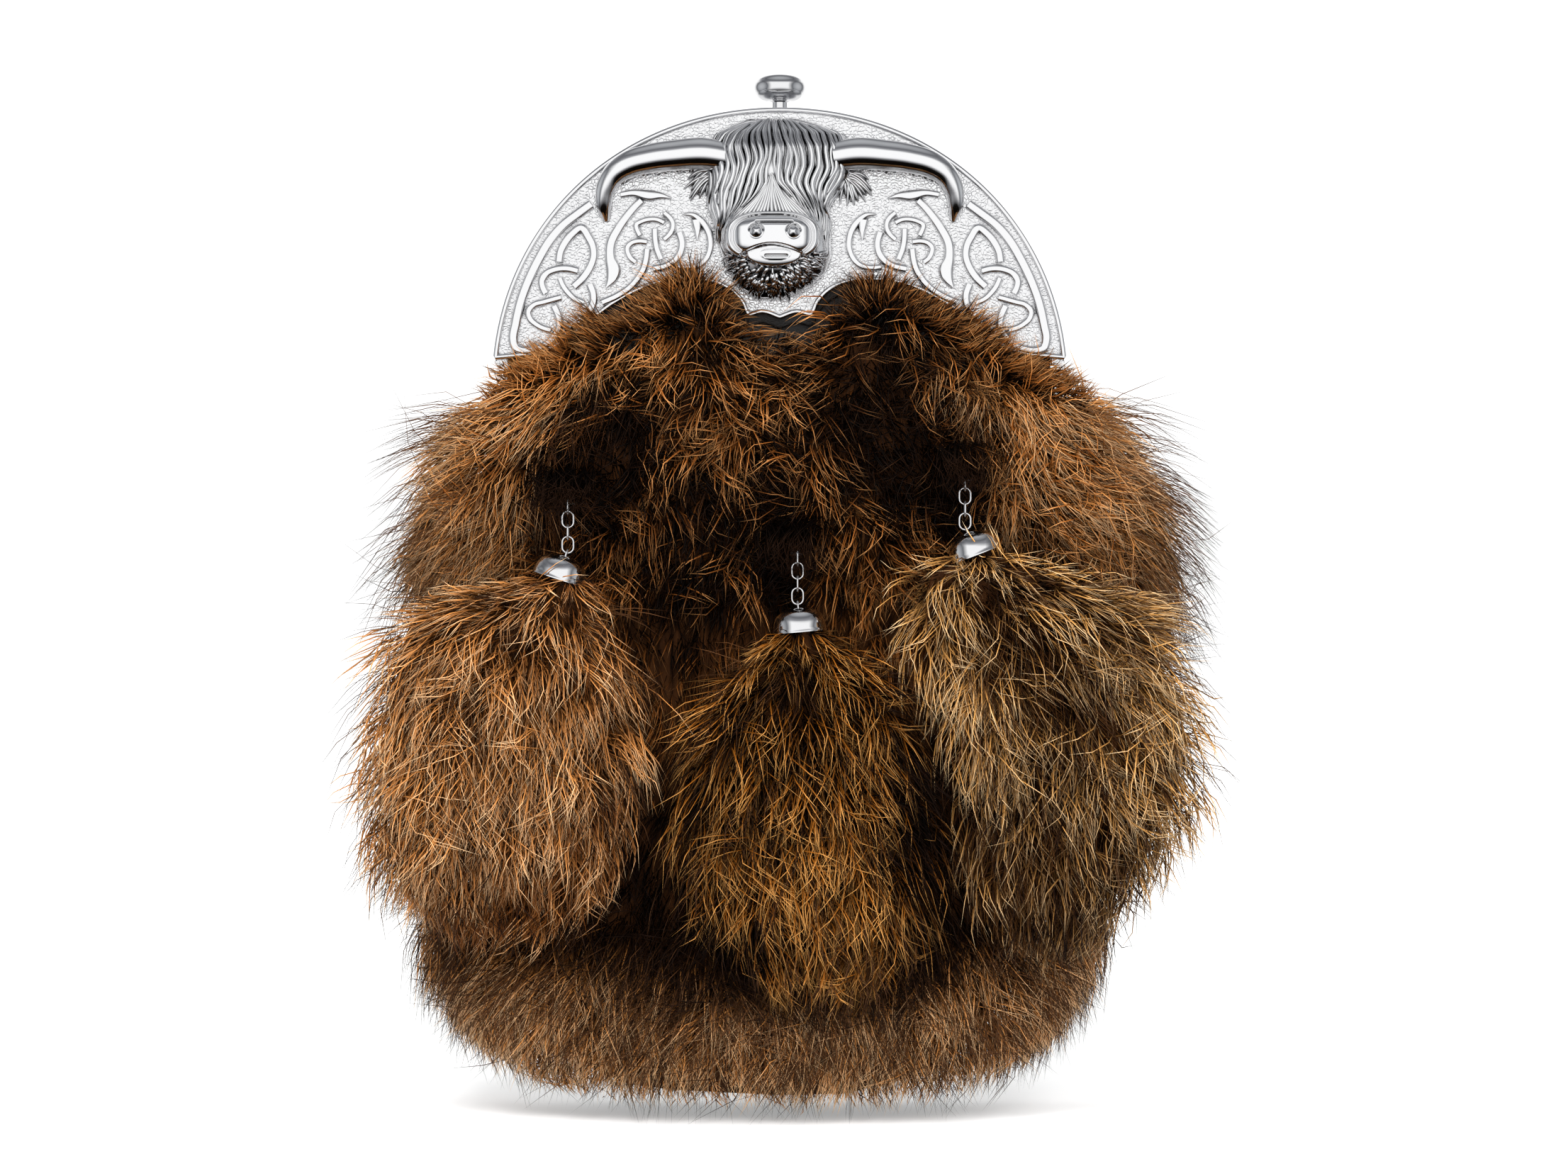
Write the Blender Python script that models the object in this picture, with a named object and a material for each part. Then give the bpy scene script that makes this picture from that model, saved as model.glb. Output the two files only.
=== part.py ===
"""Full-dress fur sporran: a cast cantle on a metal frame, a leather bag under deep fur, three fur tassels.

Lengths are millimetres, and add_object turns them into metres. X runs across the pouch, -Y is its front,
+Z is up, and it stands on Z = 0. Tables that describe one half give the distance from the centre line.
"""
import math

import bmesh
import bpy
import numpy as np
from mathutils import Vector

MM = 0.001

# Driving dimensions
GAP = 0.3                     # clearance between neighbouring pieces
CANTLE_HALF_WIDTH = 75.5
CANTLE_ARCH_HEIGHT = 73.5
CANTLE_ARCH_Z = 190.3
CANTLE_ARCH_POWER = 2.06      # exponent of the arch's superellipse
CANTLE_CORNER_Z = 197.6
ARCH_SEGMENTS = 32
PLATE_FRONT_Y = -17.0
PLATE_THICKNESS = 1.8
BEAD_WIDTH = 1.35
BEAD_HEIGHT = 0.8
FRAME_WALL = 1.6
FRAME_INSET = 0.6             # the arches stand this far inside the plate's outline
FRAME_SPLIT_Y = -3.0
FRAME_BACK_Y = 9.6
LEATHER_WALL = 2.0
BAG_BACK_Y = 12.0
BAG_BOTTOM_Z = 14.0
KNOB_Y = -7.3
KNOB_TRAVEL = 1.5
LINK_LENGTH = 4.9
LINK_WIDTH = 3.5
LINK_WIRE = 0.35              # radius
STAPLE_WIRE = 0.45            # radius
BELL_RADIUS = 6.5
BELL_WALL = 0.7
BELL_SIDES = 12
LINKS_PER_CHAIN = 4
LOOP_WIDTH = 18.0
LOOP_CENTRE_X = 38.0

PLATE_BACK_Y = PLATE_FRONT_Y + PLATE_THICKNESS
FRAME_FRONT_Y = PLATE_BACK_Y + GAP


def clear_scene():
    for old in list(bpy.data.objects):
        bpy.data.objects.remove(old, do_unlink=True)


def make_material(name, colour, metallic, roughness):
    material = bpy.data.materials.new(name)
    material.use_nodes = True
    shader = material.node_tree.nodes["Principled BSDF"]
    shader.inputs["Base Color"].default_value = (*colour, 1.0)
    shader.inputs["Metallic"].default_value = metallic
    shader.inputs["Roughness"].default_value = roughness
    return material


def add_object(name, vertices, faces, material, smooth_degrees=35.0):
    """One mesh object from points in millimetres, with its faces turned outwards."""
    mesh = bpy.data.meshes.new(name)
    mesh.from_pydata((np.asarray(vertices, float) * MM).tolist(), [], faces)
    work = bmesh.new()
    work.from_mesh(mesh)
    bmesh.ops.recalc_face_normals(work, faces=work.faces)
    work.to_mesh(mesh)
    work.free()
    mesh.materials.append(material)
    mesh.shade_smooth()
    mesh.set_sharp_from_angle(angle=math.radians(smooth_degrees))
    item = bpy.data.objects.new(name, mesh)
    bpy.context.scene.collection.objects.link(item)
    return item


def loft(rings):
    """A solid through closed rings of equal count: quads between neighbours, one flat face at each end."""
    rings = np.asarray(rings, float)
    count, columns = rings.shape[:2]
    faces = []
    for row in range(count - 1):
        for place in range(columns):
            beside = (place + 1) % columns
            low, high = row * columns, (row + 1) * columns
            faces.append((low + place, low + beside, high + beside, high + place))
    faces.append(tuple(range(columns)))
    faces.append(tuple(range((count - 1) * columns, count * columns)))
    return rings.reshape(-1, 3), faces


def turned(profile, sides):
    """A solid turned about Z from (radius, z) rows, first and last rows being its flat ends."""
    angles = np.arange(sides) * math.tau / sides
    return loft([[(radius * math.cos(a), radius * math.sin(a), z) for a in angles] for radius, z in profile])


def along_x(shape):
    """The same solid with its Z axis laid along X."""
    points, faces = shape
    return np.stack([points[:, 2], points[:, 0], points[:, 1]], axis=1), faces


def moved(shape, offset):
    points, faces = shape
    return points + np.asarray(offset, float), faces


def box(low, high):
    (x0, y0, z0), (x1, y1, z1) = low, high
    return loft([[(x0, y0, z), (x1, y0, z), (x1, y1, z), (x0, y1, z)] for z in (z0, z1)])


def wire(points, radius, sides, closed=False):
    """A round wire through 3-D points: each ring stands square to the path and keeps the last ring's turn."""
    points = np.asarray(points, float)
    if closed:
        ahead, behind = np.roll(points, -1, axis=0), np.roll(points, 1, axis=0)
        tangents = ahead - behind
    else:
        tangents = np.gradient(points, axis=0)
    tangents /= np.linalg.norm(tangents, axis=1, keepdims=True)
    flat = np.eye(3)[int(np.argmin(np.ptp(points, axis=0)))]      # square to the plane of the path
    rings = []
    for point, tangent in zip(points, tangents):
        side = np.cross(tangent, flat)
        side /= np.linalg.norm(side)
        turn = np.arange(sides) * math.tau / sides
        rings.append(point + radius * (np.outer(np.cos(turn), side) + np.outer(np.sin(turn), flat)))
    if not closed:
        return loft(rings)
    points, faces = loft(rings + rings[:1])
    ring_count = len(rings)
    faces = [tuple(index % (ring_count * sides) for index in face) for face in faces[:-2]]
    return points[:ring_count * sides], faces


def hide_tool(item):
    item.hide_render = True
    item.display_type = "WIRE"


def combine(target, operation, tools):
    """Fuse hidden solids to the target, or cut them from it, in one exact Boolean."""
    group = bpy.data.collections.new(f"{target.name}_{operation.lower()}")
    for tool in tools:
        bpy.context.scene.collection.objects.unlink(tool)
        group.objects.link(tool)
        hide_tool(tool)
    bpy.context.scene.collection.children.link(group)
    change = target.modifiers.new(operation.title(), "BOOLEAN")
    change.operation = operation
    change.operand_type = "COLLECTION"
    change.collection = group
    change.solver = "EXACT"


def read_table(table, index, at):
    """One column of a table read straight between its rows, whose first column rises."""
    rows = np.asarray(table, float)
    return float(np.interp(at, rows[:, 0], rows[:, index]))


# ---------------------------------------------------------------- the cantle's arch and lower edge

def arch_points(inset, start, stop, segments):
    """The superellipse x = a cos^p t, z = zc + b sin^p t with p = 2 / power, drawn in by inset."""
    power = 2.0 / CANTLE_ARCH_POWER
    angles = np.linspace(start, stop, segments + 1)
    cosine, sine = np.cos(angles), np.sin(angles)
    x = (CANTLE_HALF_WIDTH - inset) * np.sign(cosine) * np.abs(cosine) ** power
    z = CANTLE_ARCH_Z + (CANTLE_ARCH_HEIGHT - inset) * np.abs(sine) ** power
    return np.stack([x, z], axis=1)


def arch_top(x, inset):
    """Height of the drawn-in arch above the place x."""
    share = min(abs(x) / (CANTLE_HALF_WIDTH - inset), 1.0)
    rise = (1.0 - share ** CANTLE_ARCH_POWER) ** (1.0 / CANTLE_ARCH_POWER)
    return CANTLE_ARCH_Z + (CANTLE_ARCH_HEIGHT - inset) * rise


def arch_half_width(z, inset):
    """Half width of the drawn-in arch at the height z."""
    share = (z - CANTLE_ARCH_Z) / (CANTLE_ARCH_HEIGHT - inset)
    reach = (1.0 - share ** CANTLE_ARCH_POWER) ** (1.0 / CANTLE_ARCH_POWER)
    return (CANTLE_HALF_WIDTH - inset) * reach


def corner_angle():
    """Angle at which the arch reaches the height of the plate's lower corners."""
    share = (CANTLE_CORNER_Z - CANTLE_ARCH_Z) / CANTLE_ARCH_HEIGHT
    return math.asin(share ** (CANTLE_ARCH_POWER / 2.0))


# the plate's scalloped lower edge, from the centre outwards: distance from centre, height
LOWER_EDGE = (
    (0.0, 208.1), (4.6, 209.6), (8.4, 208.9), (10.6, 212.8), (12.6, 215.0), (16.7, 217.2), (22.3, 218.0),
    (34.7, 216.3), (38.3, 214.7), (43.8, 211.6), (48.8, 207.8), (57.6, 201.1), (61.3, 199.4), (65.7, 198.4),
)


def lower_edge():
    """The lower edge as one run of (x, z) points from left to right."""
    left = [(-x, z) for x, z in reversed(LOWER_EDGE)]
    return left + [(x, z) for x, z in LOWER_EDGE[1:]]


def plate_outline():
    start = corner_angle()
    arch = arch_points(0.0, start, math.pi - start, ARCH_SEGMENTS)
    return np.vstack([arch, lower_edge()])


def drawn_in(outline, distance):
    """A closed outline moved inwards, each corner mitred."""
    before = outline - np.roll(outline, 1, axis=0)
    after = np.roll(outline, -1, axis=0) - outline
    normals = []
    for edge in (before, after):
        edge = edge / np.linalg.norm(edge, axis=1, keepdims=True)
        normals.append(np.stack([-edge[:, 1], edge[:, 0]], axis=1))
    both = normals[0] + normals[1]
    stretch = 1.0 + np.sum(normals[0] * normals[1], axis=1, keepdims=True)
    return outline + distance * both / stretch


def at_depth(outline, y):
    outline = np.asarray(outline, float)
    return np.stack([outline[:, 0], np.full(len(outline), y), outline[:, 1]], axis=1)


# Knotwork of one half: (width, points), each point being distance from centre and height. A strand that
# passes under another stops short of it. Widths that change are given as one width for each point.
STRANDS = (
    # long band from the horn down the arch, round the corner and up into the outer knot
    ((2.7, 2.8, 2.8, 2.8, 2.8, 2.8, 2.8, 2.8, 2.7, 2.5, 2.3, 2.2, 2.2, 2.2, 2.2, 2.2, 2.2),
     ((49.4, 238.4), (52.7, 236.0), (57.0, 232.6), (60.3, 228.7), (63.2, 223.8), (65.9, 218.2), (67.8, 213.0),
      (69.2, 206.9), (69.8, 202.9), (69.2, 200.9), (67.2, 200.1), (64.3, 200.4), (61.4, 201.5), (59.2, 203.4),
      (57.7, 206.1), (57.9, 208.9), (59.1, 211.7))),
    # outer knot
    (1.8, ((57.6, 219.0), (56.8, 217.1), (55.4, 215.2), (53.8, 213.7), (51.3, 212.5))),
    (2.2, ((52.9, 220.9), (55.4, 221.5), (58.6, 221.3), (61.1, 220.2), (62.3, 218.2), (62.0, 216.4),
           (61.3, 215.0))),
    (1.9, ((57.3, 214.0), (61.6, 212.8), (64.5, 211.9), (65.8, 210.3), (65.5, 208.6), (63.9, 207.0),
           (61.6, 205.8), (60.0, 205.4))),
    (2.4, ((57.8, 223.3), (57.4, 225.9), (56.2, 228.3), (54.3, 230.6), (51.9, 232.2), (50.2, 229.9),
           (49.0, 227.5), (48.7, 224.9), (49.6, 222.0), (51.4, 219.2), (53.9, 216.8))),
    (2.3, ((49.7, 217.4), (48.8, 214.8), (49.0, 212.0), (50.6, 209.5), (53.0, 207.5), (55.1, 206.3))),
    # inner panel: crescent with its arm to the horn, and the tip over the arm
    ((1.8, 2.0, 3.0, 2.0, 0.4), ((41.6, 240.8), (38.6, 241.3), (33.9, 240.6), (31.3, 240.6), (28.4, 239.9))),
    ((2.2, 2.3, 2.4, 2.6, 2.8, 3.1, 4.1, 3.2, 0.4),
     ((36.2, 239.3), (37.2, 238.4), (40.0, 235.2), (42.3, 231.9), (44.2, 228.0), (44.3, 223.9), (43.5, 221.0),
      (44.0, 218.9), (45.5, 216.4))),
    # inner knot
    (1.7, ((30.3, 233.5), (32.0, 234.3), (34.0, 234.4), (36.0, 233.9), (37.6, 232.9), (37.2, 231.3),
           (36.6, 230.2))),
    (1.7, ((30.2, 236.1), (28.9, 235.0), (28.0, 233.4), (28.1, 231.8), (28.9, 230.4), (30.3, 229.1))),
    (2.0, ((32.7, 231.9), (32.6, 229.2), (32.2, 226.8), (31.1, 223.9))),
    (2.2, ((26.3, 231.0), (25.6, 228.4), (25.9, 225.9), (27.2, 223.8), (29.4, 222.3), (33.1, 221.4))),
    (1.8, ((34.8, 228.5), (36.8, 228.7), (38.8, 228.2), (39.9, 227.0), (39.7, 225.4), (38.9, 224.1),
           (37.7, 223.2))),
    (2.1, ((34.7, 226.6), (35.0, 224.0), (35.6, 221.6), (36.9, 219.2), (39.2, 216.6), (42.5, 214.4),
           (46.5, 212.6))),
    # crescent beside the head, and the thorn inside it
    ((0.4, 1.5, 2.0, 2.0, 1.9, 1.8, 1.8, 1.8, 1.7),
     ((25.3, 235.7), (22.8, 235.6), (20.0, 233.4), (18.4, 230.2), (18.2, 227.0), (19.2, 224.2), (21.2, 222.3),
      (23.8, 221.7), (26.6, 221.9))),
    ((3.0, 2.0, 0.3), ((21.9, 234.3), (21.6, 231.6), (21.6, 228.9))),
)
# one strand's section: share of its half width, height over the plate
STRAND_SECTION = ((-1.0, -0.6), (-0.8, 0.75), (0.0, 1.2), (0.8, 0.75), (1.0, -0.6))


def strand(widths, points, side):
    """One raised strand on the left (side -1) or right (side 1) half of the plate."""
    path = np.asarray(points, float) * (side, 1.0)
    widths = np.broadcast_to(widths, len(path))
    ahead = np.gradient(path, axis=0)
    ahead /= np.linalg.norm(ahead, axis=1, keepdims=True)
    across = np.stack([-ahead[:, 1], ahead[:, 0]], axis=1)
    rings = []
    for centre, normal, width in zip(path, across, widths):
        ring = []
        for share, height in STRAND_SECTION:
            x, z = centre + normal * share * width / 2.0
            ring.append((x, PLATE_FRONT_Y - height, z))
        rings.append(ring)
    return loft(rings)


# the cow's head, from beard to crown: height, left side, right side, how proud its sides and its middle stand
HEAD_ROWS = (
    (213.6, -3.4, 2.2, 0.5, 1.6), (216.4, -9.8, 8.2, 2.0, 6.0), (220.4, -13.2, 12.0, 3.0, 8.6),
    (225.0, -14.5, 13.8, 4.0, 11.4), (231.0, -15.0, 13.4, 4.2, 12.0), (236.0, -17.3, 13.2, 3.8, 11.2),
    (241.0, -18.2, 15.2, 3.4, 10.8), (247.0, -18.4, 18.0, 3.2, 10.2), (253.0, -18.6, 20.0, 2.6, 8.4),
    (258.2, -15.0, 15.6, 1.6, 4.4), (260.6, -9.0, 9.4, 0.5, 1.4),
)
HEAD_SHARES = np.linspace(-1.0, 1.0, 13)
FORELOCK_RIDGE = 0.7          # how much every other line of the forelock stands out
FORELOCK_Z = (238.0, 257.0)
SUNK_Y = PLATE_FRONT_Y + 0.7  # roots of raised parts lie inside the plate


def cow_head():
    rings = []
    for z, left, right, side_proud, middle_proud in HEAD_ROWS:
        ring = [(right, SUNK_Y, z), (left, SUNK_Y, z)]
        for index, share in enumerate(HEAD_SHARES):
            x = (left + right) / 2.0 + share * (right - left) / 2.0
            proud = side_proud + (middle_proud - side_proud) * (1.0 - abs(share) ** 2.4)
            if FORELOCK_Z[0] < z < FORELOCK_Z[1]:
                proud += FORELOCK_RIDGE * (-1) ** index
            ring.append((x, PLATE_FRONT_Y - proud, z))
        rings.append(ring)
    return loft(rings)


# the muzzle pad: how proud each ring stands, and its share of the pad's full outline
MUZZLE_CENTRE = (-2.3, 229.4)
MUZZLE_HALF = (10.4, 5.6)
MUZZLE_RINGS = ((8.0, 0.9), (12.8, 1.0), (14.4, 0.82), (15.0, 0.45))
# one horn from its root in the head: distance from centre, height, radius, how proud its centre stands
HORN_ROWS = (
    (15.0, 250.6, 4.0, 4.4), (20.0, 251.2, 4.2, 4.4), (27.0, 250.8, 4.0, 4.2), (33.5, 250.0, 3.8, 4.0),
    (39.5, 248.4, 3.5, 3.6), (43.6, 245.6, 3.0, 3.1), (45.6, 241.8, 2.6, 2.6), (45.8, 238.0, 2.2, 1.9),
    (45.2, 234.8, 1.4, 0.9),
)
# one ear under the horn, from the head outwards: distance from centre, height, half height, how proud
EAR_ROWS = ((14.0, 243.6, 3.4, 2.6), (19.0, 243.2, 4.0, 2.8), (23.5, 243.4, 2.8, 2.0), (26.4, 243.8, 0.8, 0.8))


def muzzle():
    turn = np.arange(14) * math.tau / 14
    rings = []
    for proud, share in MUZZLE_RINGS:
        x = MUZZLE_CENTRE[0] + MUZZLE_HALF[0] * share * np.cos(turn)
        z = MUZZLE_CENTRE[1] + MUZZLE_HALF[1] * share * np.sin(turn)
        rings.append(np.stack([x, np.full(14, PLATE_FRONT_Y - proud), z], axis=1))
    return loft(rings)


def horn(side):
    """A tapering tube of eight sides that bends over at the arch and comes down to the plate."""
    rows = np.asarray(HORN_ROWS, float)
    centres = np.stack([side * rows[:, 0], PLATE_FRONT_Y - rows[:, 3], rows[:, 1]], axis=1)
    ahead = np.gradient(centres, axis=0)
    rings = []
    for centre, tangent, radius in zip(centres, ahead, rows[:, 2]):
        tangent = tangent / np.linalg.norm(tangent)
        front = np.array((0.0, -1.0, 0.0))
        across = np.cross(tangent, front)
        across /= np.linalg.norm(across)
        front = np.cross(across, tangent)
        turn = (np.arange(8) + 0.5) * math.tau / 8
        rings.append(centre + radius * (np.outer(np.cos(turn), across) + np.outer(np.sin(turn), front)))
    return loft(rings)


def ear(side):
    rings = []
    for distance, z, half, proud in EAR_ROWS:
        x = side * distance
        rings.append([(x, SUNK_Y, z - half), (x, PLATE_FRONT_Y - 0.4 * proud, z - half),
                      (x, PLATE_FRONT_Y - proud, z - 0.2 * half), (x, PLATE_FRONT_Y - 0.6 * proud, z + half),
                      (x, SUNK_Y, z + half)])
    return loft(rings)


def build_cantle(metal):
    outline = plate_outline()
    bead_inside = drawn_in(outline, BEAD_WIDTH)
    bead_top = drawn_in(outline, 0.3)
    rings = (at_depth(outline, PLATE_BACK_Y), at_depth(outline, PLATE_FRONT_Y - 0.4),
             at_depth(bead_top, PLATE_FRONT_Y - BEAD_HEIGHT),
             at_depth(drawn_in(outline, BEAD_WIDTH - 0.3), PLATE_FRONT_Y - BEAD_HEIGHT),
             at_depth(bead_inside, PLATE_FRONT_Y))
    plate = add_object("cantle_plate", *loft(rings), metal)
    raised = [add_object("cast_head", *cow_head(), metal), add_object("cast_muzzle", *muzzle(), metal)]
    for side in (-1, 1):
        raised.append(add_object(f"cast_horn_{side}", *horn(side), metal))
        raised.append(add_object(f"cast_ear_{side}", *ear(side), metal))
        for number, (widths, points) in enumerate(STRANDS):
            raised.append(add_object(f"cast_strand_{side}_{number}", *strand(widths, points, side), metal))
    combine(plate, "UNION", raised)


# ---------------------------------------------------------------- leather strip behind the plate

BACKING_DROP = 2.2            # how far it shows under the plate's edge
BACKING_HEIGHT = 9.0
BACKING_THICKNESS = 1.4
BACKING_HALF_WIDTH = 69.5


def build_backing(leather):
    x = np.linspace(-BACKING_HALF_WIDTH, BACKING_HALF_WIDTH, 33)
    edge = np.asarray(lower_edge())
    low = np.interp(x, edge[:, 0], edge[:, 1]) - BACKING_DROP
    lower = np.stack([x, low], axis=1)
    upper = np.stack([x, low + BACKING_HEIGHT], axis=1)[::-1]
    outline = np.vstack([lower, upper])
    front = PLATE_BACK_Y + GAP
    rings = (at_depth(outline, front), at_depth(outline, front + BACKING_THICKNESS))
    add_object("cantle_backing", *loft(rings), leather)


# ---------------------------------------------------------------- frame, hinge rivets and knob

HINGE_Z = 200.6
HINGE_Y = 3.4
HINGE_PIN = 1.0
RIVET_SIDES = 8
LUG_THICKNESS = 1.3
LUG_RISE = 2.4                # the lug's top over its pin
LUG_DROP = 3.6                # the lug's lower end under its pin
LUG_FRONT_Y = -8.0
LUG_BEHIND_PIN = 3.0
FOOT_Y = (-8.2, -4.6)         # the block that joins each lug to the arch, front and back
FOOT_DROP = 2.4
FOOT_INSET = 0.2              # how far the block stays inside the lug's inner face and under its top
HEAD_RADIUS = 2.0             # the rivet's flat head inside the lug
HEAD_THICKNESS = 0.8
DOME_RADII = (1.8, 1.5)       # the rivet's turned-over end outside the arch
DOME_HEIGHT = 0.6
COLLAR_RADII = (3.2, 2.8)
COLLAR_TOP_Z = 264.6
STEM_RADIUS = 2.0
STEM_SIDES = 12
# the knob's ball over its underside, and the disc that holds it under the arch: radius, height
BALL_ROWS = ((4.3, 0.2), (6.4, 1.8), (6.85, 3.6), (6.0, 5.6), (3.6, 6.9), (1.0, 7.2))
DISC_RADIUS = 3.2
DISC_THICKNESS = 1.7


def arch_band(front_y, back_y):
    """A flat-sided arch: its outer and inner faces follow the plate's outline."""
    start = corner_angle()
    outer = arch_points(FRAME_INSET, start, math.pi - start, ARCH_SEGMENTS)
    inner = arch_points(FRAME_INSET + FRAME_WALL, start, math.pi - start, ARCH_SEGMENTS)
    rings = []
    for (outer_x, outer_z), (inner_x, inner_z) in zip(outer, inner):
        rings.append([(outer_x, front_y, outer_z), (outer_x, back_y, outer_z),
                      (inner_x, back_y, inner_z), (inner_x, front_y, inner_z)])
    return loft(rings)


def knob_profile():
    """From the disc up: it stops under the arch, and the ball stands its travel and a gap over the collar."""
    disc_top = arch_top(0.0, FRAME_INSET + FRAME_WALL) - GAP
    underside = COLLAR_TOP_Z + KNOB_TRAVEL + GAP
    rows = [(DISC_RADIUS, disc_top - DISC_THICKNESS), (DISC_RADIUS, disc_top), (STEM_RADIUS, disc_top),
            (STEM_RADIUS, underside)]
    return rows + [(radius, underside + height) for radius, height in BALL_ROWS]


def build_frame(metal):
    front = add_object("frame_front", *arch_band(FRAME_FRONT_Y, FRAME_SPLIT_Y - GAP / 2.0), metal)
    back = add_object("frame_back", *arch_band(FRAME_SPLIT_Y + GAP / 2.0, FRAME_BACK_Y), metal)
    band_inside = arch_half_width(HINGE_Z + LUG_RISE, FRAME_INSET + FRAME_WALL)
    lug_outside = band_inside - GAP
    collar_foot = arch_top(0.0, FRAME_INSET + FRAME_WALL) + 0.5
    collar = turned(((COLLAR_RADII[0], collar_foot), (COLLAR_RADII[0], COLLAR_TOP_Z - 0.8),
                     (COLLAR_RADII[1], COLLAR_TOP_Z)), 16)
    added = [add_object("frame_collar", *moved(collar, (0.0, KNOB_Y, 0.0)), metal)]
    front_holes = []
    back_holes = []
    for side in (-1, 1):
        inner_x, outer_x = lug_outside - LUG_THICKNESS, lug_outside
        low_x, high_x = sorted((side * inner_x, side * outer_x))
        lug = box((low_x, LUG_FRONT_Y, HINGE_Z - LUG_DROP), (high_x, HINGE_Y + LUG_BEHIND_PIN, HINGE_Z + LUG_RISE))
        added.append(add_object(f"frame_lug_{side}", *lug, metal))
        low_x, high_x = sorted((side * (inner_x + FOOT_INSET), side * (band_inside + FRAME_WALL / 2.0)))
        foot = box((low_x, FOOT_Y[0], HINGE_Z - FOOT_DROP), (high_x, FOOT_Y[1], HINGE_Z + LUG_RISE - FOOT_INSET))
        added.append(add_object(f"frame_foot_{side}", *foot, metal))
        hole = moved(along_x(turned(((HINGE_PIN + GAP, -4.0), (HINGE_PIN + GAP, 4.0)), RIVET_SIDES)),
                     (side * band_inside, HINGE_Y, HINGE_Z))
        front_holes.append(add_object(f"front_hinge_hole_{side}", *hole, metal))
        back_holes.append(add_object(f"back_hinge_hole_{side}", *hole, metal))
        head_x = inner_x - GAP
        dome_x = arch_half_width(HINGE_Z - HEAD_RADIUS, FRAME_INSET) + GAP
        rivet = along_x(turned(((HEAD_RADIUS, head_x - HEAD_THICKNESS), (HEAD_RADIUS, head_x), (HINGE_PIN, head_x),
                                (HINGE_PIN, dome_x), (DOME_RADII[0], dome_x), (DOME_RADII[1], dome_x + DOME_HEIGHT)),
                               RIVET_SIDES))
        pin = add_object(f"hinge_rivet_{'left' if side < 0 else 'right'}",
                         rivet[0] * (side, 1.0, 1.0), rivet[1], metal)
        pin.location = (0.0, HINGE_Y * MM, HINGE_Z * MM)
    hole = moved(turned(((STEM_RADIUS + GAP, 250.0), (STEM_RADIUS + GAP, 275.0)), STEM_SIDES),
                 (0.0, KNOB_Y, 0.0))
    front_holes.append(add_object("stem_hole", *hole, metal))
    combine(front, "UNION", added)
    combine(front, "DIFFERENCE", front_holes)
    combine(back, "DIFFERENCE", back_holes)
    knob = add_object("knob", *turned(knob_profile(), STEM_SIDES), metal)
    knob.location = (0.0, KNOB_Y * MM, 0.0)


# ---------------------------------------------------------------- leather bag and belt loops

# the bag from bottom to mouth: height, half width, front at the sides, how far the front's middle bulges
BAG_ROWS = (
    (14.0, 44.0, -7.0, 1.0), (19.0, 52.0, -9.0, 1.5), (34.0, 62.0, -11.0, 2.0), (70.0, 71.0, -12.0, 3.0),
    (110.0, 75.0, -12.2, 3.5), (150.0, 74.5, -12.4, 3.0), (180.0, 73.0, -12.6, 1.5), (195.0, 71.6, -12.8, 0.0),
    (270.0, 71.6, -12.8, 0.0),
)
BACK_SHARES = (0.95, 0.7, 0.35, 0.0, -0.35, -0.7, -0.95)
FRONT_SHARES = (-0.93, -0.75, -0.5, -0.25, 0.0, 0.25, 0.5, 0.75, 0.93)
GUSSET_TOP_Z = 194.0
GUSSET_DEPTHS = (0.82, 0.5, 0.18)        # columns of one gusset, as shares of its depth from the front
BAG_LEVELS = (0.0, 0.03, 0.1, 0.28, 0.48, 0.68, 0.85, 1.0)
MOUTH_INSET_FRONT = FRAME_INSET + FRAME_WALL + 0.5
MOUTH_INSET_BACK = 1.0


def bag_front(x, z, outward=0.0):
    """Y of the bag's outer front at (x, z): flat at the sides and bulging in the middle."""
    half = read_table(BAG_ROWS, 1, z)
    share = min(abs(x) / half, 1.0)
    return read_table(BAG_ROWS, 2, z) - read_table(BAG_ROWS, 3, z) * (1.0 - share ** 2) - outward


def bag_ring(level, inside):
    """One closed ring of the bag at a share of each column's height; inside draws it in by the wall."""
    wall = LEATHER_WALL if inside else 0.0
    bottom = BAG_BOTTOM_Z + wall
    ring = []

    def place(top):
        z = bottom + (top - bottom) * level
        return z, read_table(BAG_ROWS, 1, z)

    for share in BACK_SHARES:
        z, half = place(arch_top(share * read_table(BAG_ROWS, 1, 195.0), MOUTH_INSET_BACK))
        ring.append((share * (half - wall), BAG_BACK_Y - wall, z))
    for side in (-1, 1):
        for depth in GUSSET_DEPTHS if side < 0 else GUSSET_DEPTHS[::-1]:
            z, half = place(GUSSET_TOP_Z)
            front = bag_front(half, z) + wall
            ring.append((side * (half - wall), front + (BAG_BACK_Y - wall - front) * depth, z))
        if side < 0:
            for share in FRONT_SHARES:
                z, half = place(arch_top(share * read_table(BAG_ROWS, 1, 195.0), MOUTH_INSET_FRONT))
                x = share * (half - wall)
                ring.append((x, bag_front(x, z) + wall, z))
    return ring


# a belt loop's strip seen from the side
LOOP_STRIP = 2.0
LOOP_DEPTH = 6.2
LOOP_FEET_Z = (118.0, 128.0, 158.0, 168.0)       # ends of the lower foot and of the upper one
LOOP_BENDS = (2.2, 1.6, 2.4)  # heights of the bends from the feet: at the foot, at the outer face, inside


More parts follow.
